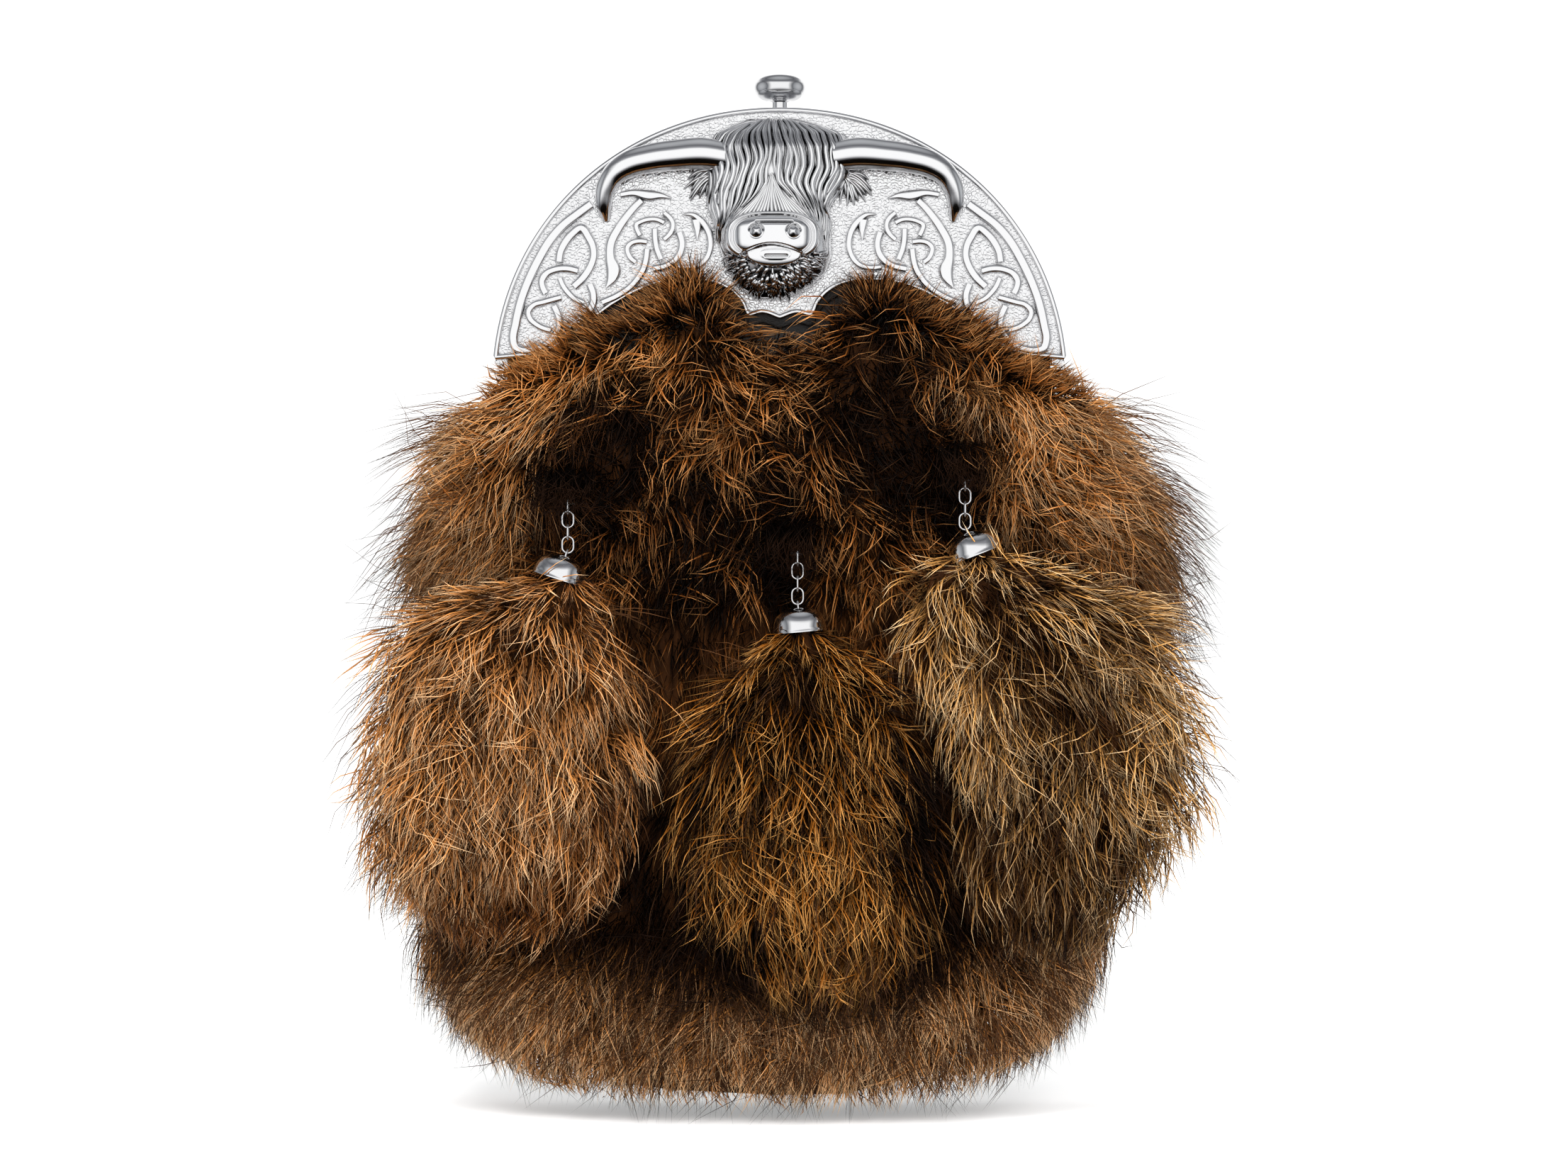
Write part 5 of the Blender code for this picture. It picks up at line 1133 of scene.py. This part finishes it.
WOOL_INSET = (5.4, 14.0)                 # under the fur's outline, in front and at the sides
WOOL_OVER_HEM = 6.0
WOOL_COLUMNS, WOOL_ROWS = 91, 30
share = np.linspace(0.0, 1.0, WOOL_COLUMNS)
wool_x = around_coat(share, COAT_MIDDLE_Z, 0.0)[:, 0]
top = np.interp(wool_x, FUR_TOP[:, 0], FUR_TOP[:, 1]) - 5.0
foot = np.interp(wool_x, FUR_HEM[:, 0], FUR_HEM[:, 1]) + WOOL_OVER_HEM
inset = WOOL_INSET[0] + (WOOL_INSET[1] - WOOL_INSET[0]) * step_up(np.abs(share - 0.5), 0.22, 0.48)
level = np.linspace(0.0, 1.0, WOOL_ROWS)[:, None]
outer = around_coat(share[None, :], foot + (top - foot) * level, -inset)
inner = outer[::-1].copy()
inner[:, :, 1] = np.minimum(inner[:, :, 1] + 4.0, FUR_BACK_Y)
skin = np.concatenate([outer, inner])
skin[:, [0, -1], 1] = FUR_BACK_Y
wool = make_piece("fur_underwool", skin.reshape(-1, 3), [looped_faces(*skin.shape[:2])], fur_wool)
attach(wool, "sporran")
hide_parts("body_fur")

dice = np.random.default_rng(11)


def fur_field(name, count, shares, heights, proud, lengths, lifts, radii, tone, in_lock, over_hem,
              pull=(0.1, 0.5), curl=0.2, stray=0.14, turn=0.5, places=3, material=fur_hair, ends=(0, -1)):
    """Hairs in locks, each lock's share round the section and height drawn evenly from within the ranges.

    A hair reaches outwards by length * lift / sqrt(1 + lift^2), and its root lies so deep under the fur's
    outline that the tip ends proud millimetres outside it.
    """
    lock_count = count // in_lock
    lock_share = dice.uniform(*shares, lock_count)
    if shares[1] < 0.5:
        lock_share = np.where(dice.random(lock_count) < 0.5, lock_share, 1.0 - lock_share)
    lock_z = dice.uniform(*heights, lock_count)
    lock_x = around_coat(lock_share, lock_z, 0.0)[:, 0]
    limit = np.minimum(np.interp(lock_x, FUR_TOP[:, 0], FUR_TOP[:, 1]) - 3.0, heights[1])
    lowest = np.maximum(np.interp(lock_x, FUR_HEM[:, 0], FUR_HEM[:, 1]) + 6.0, heights[0])
    lock_z = lowest + (lock_z - heights[0]) * (limit - lowest) / (heights[1] - heights[0])
    lock = dice.integers(0, lock_count, count)
    share = np.clip(lock_share[lock] + dice.normal(0.0, 0.007, count), 0.002, 0.998)
    z = np.maximum(lock_z[lock] + dice.normal(0.0, 2.0, count), 3.0)
    length = dice.uniform(*lengths, count)
    lift = dice.uniform(*lifts, count)
    depth = np.clip(length * lift / np.sqrt(1.0 + lift ** 2) - dice.uniform(*proud, count), 1.0, 17.0)
    roots = around_coat(share, z, -depth)
    turned = dice.normal(0.0, turn, (lock_count, 3))[lock]
    paths = grown(roots, coat_normal(share, z), combed(roots) + turned, length, lift, lock,
                  dice.uniform(*pull, count), curl, stray, places)
    paths = settled(paths, dice.uniform(*over_hem, lock_count)[lock] + dice.uniform(0.0, 2.0, count))
    tone = tone + dice.normal(0.0, 0.25, lock_count)[lock] + dice.normal(0.0, 0.12, count)
    return fur_piece(name, paths, dice.uniform(*radii, count), tone + patched(paths, PATCHES, ends), material)


fur_field("fur_short_upper", 8000, (0.0, 1.0), (120.0, 219.0), proud=(-4.5, -0.5), lengths=(7.0, 12.0),
          lifts=(0.5, 1.2), radii=(0.18, 0.28), tone=0.1, in_lock=7, over_hem=(3.0, 9.0), stray=0.3, places=2)
fur_field("fur_short_lower", 8000, (0.0, 1.0), (4.0, 125.0), proud=(-4.5, -0.5), lengths=(8.0, 14.0),
          lifts=(0.4, 1.1), radii=(0.18, 0.28), tone=0.4, in_lock=7, over_hem=(1.0, 8.0), stray=0.25,
          places=2, ends=(-1,))
fur_field("fur_lobes", 8600, (0.15, 0.85), (136.0, 218.0), proud=(-2.0, 1.5), lengths=(8.0, 16.0),
          lifts=(0.25, 0.9), radii=(0.16, 0.26), tone=0.3, in_lock=8, over_hem=(3.0, 9.0), curl=0.24,
          stray=0.16, turn=0.6)
# pale strands over the lobes: partly tawny hair, partly a painted highlight along the locks
fur_field("fur_lobe_strands", 2600, (0.12, 0.88), (138.0, 217.0), proud=(0.0, 3.0), lengths=(9.0, 18.0),
          lifts=(0.15, 0.6), radii=(0.17, 0.25), tone=0.75, in_lock=5, over_hem=(3.0, 9.0), pull=(0.2, 0.6),
          curl=0.3, turn=0.75, places=4)
fur_field("fur_lobe_sides", 6200, (0.0, 0.24), (134.0, 210.0), proud=(-2.5, 5.0), lengths=(14.0, 27.0),
          lifts=(0.3, 1.0), radii=(0.15, 0.25), tone=0.5, in_lock=8, over_hem=(3.0, 9.0), curl=0.18,
          turn=0.36, material=side_hair)
fur_field("fur_middle", 4600, (0.2, 0.8), (46.0, 146.0), proud=(-2.0, 2.0), lengths=(7.0, 14.0),
          lifts=(0.15, 0.6), radii=(0.14, 0.24), tone=0.55, in_lock=8, over_hem=(3.0, 9.0), curl=0.14,
          turn=0.25)
fur_field("fur_sides", 4000, (0.0, 0.2), (22.0, 138.0), proud=(-2.5, 4.0), lengths=(14.0, 25.0),
          lifts=(0.3, 0.9), radii=(0.15, 0.24), tone=0.5, in_lock=8, over_hem=(2.0, 8.0), curl=0.14, turn=0.3,
          material=side_hair)
fur_field("fur_fringe", 6800, (0.0, 1.0), (8.0, 52.0), proud=(-3.0, 3.0), lengths=(14.0, 30.0),
          lifts=(0.1, 0.6), radii=(0.14, 0.22), tone=0.55, in_lock=8, over_hem=(0.5, 9.0), curl=0.12,
          turn=0.34, material=side_hair, ends=(-1,))

# straight dark guard hairs stand out past the outline of the sides and the hem
guard_hair = hair_material("dark_guard_hair",
                           ("#120A06", "#1A0E08", "#050302"), ("#5A3A20", "#5C3C24", "#120A06"))
fur_field("fur_guard_sides", 2200, (0.0, 0.15), (20.0, 200.0), proud=(8.0, 19.0), lengths=(26.0, 44.0),
          lifts=(0.4, 1.1), radii=(0.09, 0.14), tone=0.7, in_lock=2, over_hem=(0.0, 3.0), pull=(0.0, 0.3),
          curl=0.12, turn=0.3, material=guard_hair)
fur_field("fur_guard_fringe", 4600, (0.0, 1.0), (14.0, 54.0), proud=(2.0, 11.0), lengths=(20.0, 40.0),
          lifts=(0.25, 0.9), radii=(0.11, 0.16), tone=0.25, in_lock=4, over_hem=(-3.0, 9.0), pull=(0.1, 0.7),
          curl=0.14, turn=0.55, material=guard_hair, ends=(-1,))

# tufts that stand up over the plate's lower edge, and the edge of the fur between them: x from and to, which
# way the hair leans, count, how far the roots lie under the edge, length
TOP_TUFTS = (
    (-31.0, -16.0, 0.0, 520, (0.0, 9.0), (7.0, 11.0)), (20.0, 35.0, 0.0, 450, (0.0, 9.0), (6.0, 10.0)),
    (-70.0, -46.0, -1.3, 640, (-4.0, 5.0), (7.0, 12.0)), (-48.0, -27.0, -1.4, 480, (0.0, 7.0), (6.0, 11.0)),
    (33.0, 50.0, 1.4, 430, (0.0, 7.0), (6.0, 10.0)), (48.0, 72.0, 1.3, 640, (-4.0, 5.0), (7.0, 12.0)),
    (-14.0, 13.0, 0.3, 280, (0.0, 6.0), (2.5, 5.0)),
)
TUFT_EDGE_Z = 205.0
IN_TUFT_LOCK = 7
coat_share = np.linspace(0.0, 1.0, 400)
coat_x = around_coat(coat_share, TUFT_EDGE_Z, 0.0)[:, 0]
bunches = []
for left, right, lean, count, below, lengths in TOP_TUFTS:
    lock_count = count // IN_TUFT_LOCK
    lock = dice.integers(0, lock_count, count)
    x = dice.uniform(left, right, lock_count)[lock] + dice.normal(0.0, 0.8, count)
    edge = np.interp(x, FUR_TOP[:, 0], FUR_TOP[:, 1])
    z = edge - dice.uniform(*below, lock_count)[lock] + dice.normal(0.0, 0.8, count)
    share = np.interp(x, coat_x, coat_share)
    roots = around_coat(share, z, -dice.uniform(1.0, 4.0, count))
    fan = 1.2 * (2.0 * x - left - right) / (right - left) * (lean == 0.0) + lean
    lie = np.stack([fan, np.zeros(count), np.full(count, 0.8)], axis=1)
    lie = lie + dice.normal(0.0, 0.35, (lock_count, 3))[lock]
    bunches.append(grown(roots, coat_normal(share, z), lie, dice.uniform(*lengths, count),
                         dice.uniform(0.2, 0.6, count), lock, dice.uniform(0.1, 0.5, count), 0.18, 0.16, 3))
paths = np.concatenate(bunches)
tone = 0.3 + 0.25 * dice.normal(size=len(paths)) + patched(paths, PATCHES)
fur_piece("fur_top_tufts", paths, dice.uniform(0.13, 0.23, len(paths)), tone, fur_hair)

# ---------------------------------------------------------------- chains and bells
# Three short chains of oval wire links hang from wire staples in the fur. Each ends in a spun, chromed bell
# whose wire bail is soldered on top, and a fur tassel is gathered up into the bell.

# each drop: x, y and z of its staple's cross wire, then how far its bell leans to the right, in degrees
DROPS = {
    "left": (-54.4, -36.5, 159.8, -18.0),
    "centre": (4.6, -37.0, 146.6, 5.0),
    "right": (47.6, -36.5, 165.8, 21.0),
}
LINKS_PER_CHAIN = 4
LINK_HALF_LENGTH, LINK_HALF_WIDTH, LINK_WIRE = 2.1, 1.45, 0.26
BAIL_BELOW_STAPLE = 11.95
BAIL_HEIGHT, BAIL_HALF = 1.9, 1.25
# the bell's wall from the crown over the outside to the lip and back inside: radius, distance under the bail
BELL_ROWS = ((0.9, 1.8), (2.4, 1.9), (3.9, 2.3), (5.1, 3.0), (6.05, 4.1), (6.6, 5.5), (6.85, 6.9),
             (6.9, 7.6), (7.0, 7.75), (7.0, 8.05), (6.7, 8.15), (6.2, 8.0), (6.1, 6.8), (5.6, 4.9),
             (4.5, 3.5), (2.8, 2.7), (0.9, 2.5))
BELL_SIDES, WIRE_SIDES = 56, 10

bend = np.linspace(0.0, math.pi, 13)
straight = LINK_HALF_LENGTH - LINK_HALF_WIDTH
top_half = np.stack([LINK_HALF_WIDTH * np.cos(bend), straight + LINK_HALF_WIDTH * np.sin(bend)], axis=1)
oval = np.concatenate([top_half, -top_half])
for name in DROPS:
    for number in range(LINKS_PER_CHAIN):
        label = f"link_{name}_{number + 1}"
        low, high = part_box(label)
        middle = (np.add(low, high) / 2.0 - SHIFT) / MM
        facing = number % 2 == 1
        flat = np.zeros((len(oval), 3))
        flat[:, 0 if facing else 1] = oval[:, 0]
        flat[:, 2] = oval[:, 1]
        front = FRONTWARDS if facing else (1.0, 0.0, 0.0)
        section = round_section(WIRE_SIDES)
        points, faces = carried(flat + middle, front, section, LINK_WIRE, LINK_WIRE, closed=True)
        link = make_piece(f"wire_{label}", points, faces, chrome)
        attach(link, "sporran")
        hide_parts(label)


def leaned(points, name):
    """Places round a drop's bail turned about Y by the bell's lean, then moved to the bail."""
    x, y, z, lean = DROPS[name]
    angle = math.radians(lean)
    across = points[..., 0] * math.cos(angle) - points[..., 2] * math.sin(angle)
    up = points[..., 0] * math.sin(angle) + points[..., 2] * math.cos(angle)
    return np.stack([across, points[..., 1], up], axis=-1) + (x, y, z - BAIL_BELOW_STAPLE)


around = np.arange(BELL_SIDES) * math.tau / BELL_SIDES
radius, below = np.array(BELL_ROWS)[:, :, None].transpose(1, 0, 2)
bell_skin = np.stack([radius * np.cos(around), radius * np.sin(around), -below + 0.0 * around], axis=-1)
bell_shape = bell_skin.reshape(-1, 3), tube_faces(len(BELL_ROWS), BELL_SIDES)
rise = np.linspace(0.0, math.pi, 11)
bail_foot = -BAIL_HEIGHT - 0.6           # soldered a little way into the bell's crown
bail_y = np.concatenate([[BAIL_HALF], BAIL_HALF * np.cos(rise), [-BAIL_HALF]])
bail_z = np.concatenate([[bail_foot], BAIL_HALF * (np.sin(rise) - 1.0), [bail_foot]])
bail_path = np.stack([0.0 * bail_y, bail_y, bail_z], axis=1)
bail_shape = carried(bail_path, (1.0, 0.0, 0.0), round_section(WIRE_SIDES), LINK_WIRE, LINK_WIRE)
for name in DROPS:
    points, faces = joined([bell_shape, bail_shape])
    bell = make_piece(f"spun_bell_{name}", leaned(points, name), faces, chrome, sharp=50.0)
    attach(bell, "sporran")
    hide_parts(f"bell_{name}")

# loose locks of the pelt fall over the staples and the first links
STAPLE_HAIRS, STAPLE_LOCKS = 260, 43     # over each staple
dice = np.random.default_rng(17)
bunches = []
for x, _, z, _ in DROPS.values():
    root_x = x + dice.normal(0.0, 4.2, STAPLE_HAIRS)
    root_z = z + dice.uniform(2.5, 10.0, STAPLE_HAIRS)
    share = np.interp(root_x, around_coat(coat_share, z + 6.0, 0.0)[:, 0], coat_share)
    lock = dice.integers(0, STAPLE_LOCKS, STAPLE_HAIRS)
    lie = np.array((0.0, 0.0, -1.0)) + dice.normal(0.0, 0.5, (STAPLE_LOCKS, 3))[lock]
    bunches.append(grown(around_coat(share, root_z, 2.0), coat_normal(share, root_z), lie,
                         dice.uniform(12.0, 16.0, STAPLE_HAIRS), dice.uniform(1.3, 2.1, STAPLE_HAIRS), lock,
                         dice.uniform(0.1, 0.5, STAPLE_HAIRS), 0.2, 0.12, 4))
paths = np.concatenate(bunches)
tone = dice.normal(0.35, 0.25, len(paths)) + patched(paths, PATCHES)
fur_piece("fur_over_staples", paths, dice.uniform(0.13, 0.22, len(paths)), tone, fur_hair)

# ---------------------------------------------------------------- tassels
# A piece of the same long fur is rolled round a cord for each tassel. It comes out from under the bell,
# bulges and falls open, and each has its own colour: tan, nearly black with golden tips, and straw.

# tassels by depth below the bail: distance down, sideways shift, half width, half depth
TASSEL_ROWS = {
    "left": ((3.6, 0.0, 2.2, 2.2), (5.4, 0.0, 4.4, 4.4), (8.6, 0.0, 5.2, 5.2), (12.0, -7.0, 18.0, 8.0),
             (20.0, -13.0, 32.5, 11.0), (38.0, -14.0, 35.5, 14.0), (60.0, -14.5, 36.0, 14.5),
             (80.0, -16.0, 33.0, 13.0), (97.0, -13.0, 15.0, 6.0)),
    "centre": ((3.6, 0.0, 2.2, 2.2), (5.4, 0.0, 4.4, 4.4), (8.6, 0.0, 5.2, 5.2), (13.0, 0.5, 14.0, 8.0),
               (24.0, 0.5, 26.0, 12.0), (42.0, 0.5, 33.0, 14.5), (60.0, 2.0, 34.5, 15.0),
               (80.0, 5.0, 32.0, 13.0), (98.0, 4.5, 14.0, 6.0)),
    "right": ((3.6, 0.0, 2.2, 2.2), (5.4, 0.0, 4.4, 4.4), (8.6, 0.0, 5.2, 5.2), (13.0, 3.0, 20.0, 8.0),
              (24.0, 13.5, 34.0, 12.0), (45.0, 23.0, 35.5, 14.5), (68.0, 26.0, 32.5, 14.5),
              (90.0, 20.5, 24.5, 12.0), (107.0, 17.0, 11.0, 6.0)),
}
# dark and light hair of each tassel, from root to tip
TASSEL_COLOURS = {
    "left": (("#1A0C05", "#5A3112", "#8C5424"), ("#5A3414", "#CC8848", "#FFDEB0")),
    "centre": (("#020101", "#080301", "#281506"), ("#120702", "#965818", "#FFC070")),
    "right": (("#050302", "#2A1608", "#64401C"), ("#3C200C", "#C48E4C", "#FFE2B4")),
}
TASSEL_TONES = {"left": 0.64, "centre": 0.5, "right": 0.6}
# patches of each tassel: x, height, half width, half height, change of tone
TASSEL_PATCHES = {
    "left": ((-70.0, 48.0, 26.0, 9.0, -0.8), (-42.0, 66.0, 7.0, 14.0, -0.4), (-50.0, 140.0, 12.0, 5.0, -0.4),
             (-62.0, 120.0, 9.0, 9.0, -0.4), (-42.0, 96.0, 10.0, 26.0, -0.2), (-74.0, 90.0, 10.0, 9.0, -0.25),
             (-58.0, 62.0, 18.0, 6.0, -0.3)),
    "centre": ((3.0, 104.0, 12.0, 12.0, -0.4), (-18.0, 84.0, 7.0, 20.0, -0.5), (42.0, 76.0, 11.0, 30.0, -1.2),
               (28.0, 100.0, 9.0, 9.0, -0.5), (6.0, 84.0, 20.0, 14.0, -0.25), (-22.0, 37.0, 18.0, 7.0, -1.3)),
    "right": ((58.0, 128.0, 8.0, 9.0, -0.7), (70.0, 112.0, 8.0, 18.0, -0.7), (45.0, 64.0, 7.0, 14.0, -0.6),
              (38.0, 118.0, 12.0, 14.0, 0.6), (46.0, 92.0, 9.0, 16.0, 0.5), (68.0, 60.0, 24.0, 16.0, -0.8)),
}


def tassel_face(name, turn, down, out):
    """A tassel's outer form, out millimetres proud: an ellipse at each depth, half as thick behind."""
    rows = np.asarray(TASSEL_ROWS[name])
    x, y, z, lean = DROPS[name]
    shift, width, thick = (np.interp(down, rows[:, 0], rows[:, part]) for part in (1, 2, 3))
    neck = rows[2, 0] * math.sin(math.radians(lean))
    sine = np.sin(turn)
    place_x = x + neck + shift + (width + out) * np.cos(turn)
    place_y = y + np.where(sine > 0.0, 0.5, 1.0) * (thick + out) * sine
    return np.stack([place_x, place_y, z - BAIL_BELOW_STAPLE - down + 0.0 * place_x], axis=-1)


def tassel_field(name, count, proud, lengths, lifts, radii, tone, in_lock, pull=(0.1, 0.5), curl=0.2,
                 stray=0.14, places=3, fan=0.5, swirl=0.4):
    """Hairs of one tassel, in locks: rooted under its form and combed away from the bell and down."""
    rows = np.asarray(TASSEL_ROWS[name])
    low, high = rows[2, 0] - 0.8, rows[-1, 0] - 3.0
    depth = np.linspace(low, high, 200)
    weight = np.cumsum(np.interp(depth, rows[:, 0], rows[:, 2]) + 6.0)
    lock_count = count // in_lock
    lock_down = np.interp(dice.random(lock_count), weight / weight[-1], depth)
    lock_turn = -np.arccos(dice.uniform(-1.0, 1.0, lock_count))
    behind = dice.random(lock_count) < 0.2
    lock_turn = np.where(behind, -lock_turn, lock_turn)
    lock = dice.integers(0, lock_count, count)
    turn = lock_turn[lock] + dice.normal(0.0, 0.06, count)
    down = np.clip(lock_down[lock] + dice.normal(0.0, 2.0, count), low, rows[-1, 0])
    length = dice.uniform(*lengths, count) * np.interp(down, (low, low + 14.0), (0.55, 1.0))
    length = length * np.interp(down, (high - 26.0, high), (1.0, 0.6))
    lift = dice.uniform(*lifts, count)
    under = np.clip(length * lift / np.sqrt(1.0 + lift ** 2) - dice.uniform(*proud, count), 0.5, 11.0)
    roots = tassel_face(name, turn, down, -under * np.interp(down, (low, low + 12.0), (0.1, 1.0)))
    fall = tassel_face(name, turn, down + 2.0, 0.0) - tassel_face(name, turn, down - 2.0, 0.0)
    across = tassel_face(name, turn + 0.05, down, 0.0) - tassel_face(name, turn - 0.05, down, 0.0)
    normals = unit(np.cross(fall, across))
    x, y, z, _ = DROPS[name]
    away = unit(roots - (x, y + 4.0, z - BAIL_BELOW_STAPLE + 4.0))
    lie = unit(fall) * (1.0 - fan) + away * fan + np.array((0.0, 0.0, -0.2))
    lie = lie + dice.normal(0.0, swirl, (lock_count, 3))[lock]
    paths = grown(roots, normals, lie, length, lift, lock, dice.uniform(*pull, count), curl, stray, places)
    tone = tone + dice.normal(0.0, 0.2, lock_count)[lock] + dice.normal(0.0, 0.12, count)
    return paths, dice.uniform(*radii, count), tone + patched(paths, np.array(TASSEL_PATCHES[name]))


ROLL_SIDES, ROLL_STEPS = 64, 40
dice = np.random.default_rng(29)
for name, colours in TASSEL_COLOURS.items():
    rows = np.asarray(TASSEL_ROWS[name])
    turn = np.linspace(0.0, math.tau, ROLL_SIDES, endpoint=False)[None, :]
    down = np.linspace(rows[2, 0] - 3.0, rows[-1, 0] - 12.0, ROLL_STEPS)[:, None]
    core = tassel_face(name, turn, down, -np.minimum(7.0, (down - rows[2, 0] + 3.0) * 0.5 + 0.5))
    faces = tube_faces(ROLL_STEPS, ROLL_SIDES)
    roll = make_piece(f"tassel_roll_{name}", core.reshape(-1, 3), faces, fur_wool)
    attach(roll, "sporran")
    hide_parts(f"tassel_{name}")
    hair = hair_material(f"{name}_tassel_hair", *colours)
    tone = TASSEL_TONES[name]
    short = tassel_field(name, 3600, proud=(-4.0, 0.0), lengths=(8.0, 14.0), lifts=(0.4, 1.1),
                         radii=(0.18, 0.28), tone=tone - 0.25, in_lock=7, stray=0.25, places=2)
    fur_piece(f"tassel_short_hair_{name}", *short, hair)
    long = tassel_field(name, 3500, proud=(-2.0, 3.0), lengths=(12.0, 24.0), lifts=(0.2, 0.8),
                        radii=(0.15, 0.25), tone=tone - 0.1, in_lock=7)
    fur_piece(f"tassel_long_hair_{name}", *long, hair)
    strands = tassel_field(name, 1200, proud=(1.0, 4.0), lengths=(12.0, 25.0), lifts=(0.15, 0.5),
                           radii=(0.17, 0.24), tone=0.95, in_lock=4, curl=0.3, places=4, swirl=0.5)
    fur_piece(f"tassel_strands_{name}", *strands, hair)
    guards = tassel_field(name, 800, proud=(4.0, 13.0), lengths=(20.0, 34.0), lifts=(0.4, 1.1),
                          radii=(0.1, 0.15), tone=0.45, in_lock=2, pull=(0.0, 0.3), curl=0.12)
    fur_piece(f"tassel_guard_hair_{name}", *guards, guard_hair)
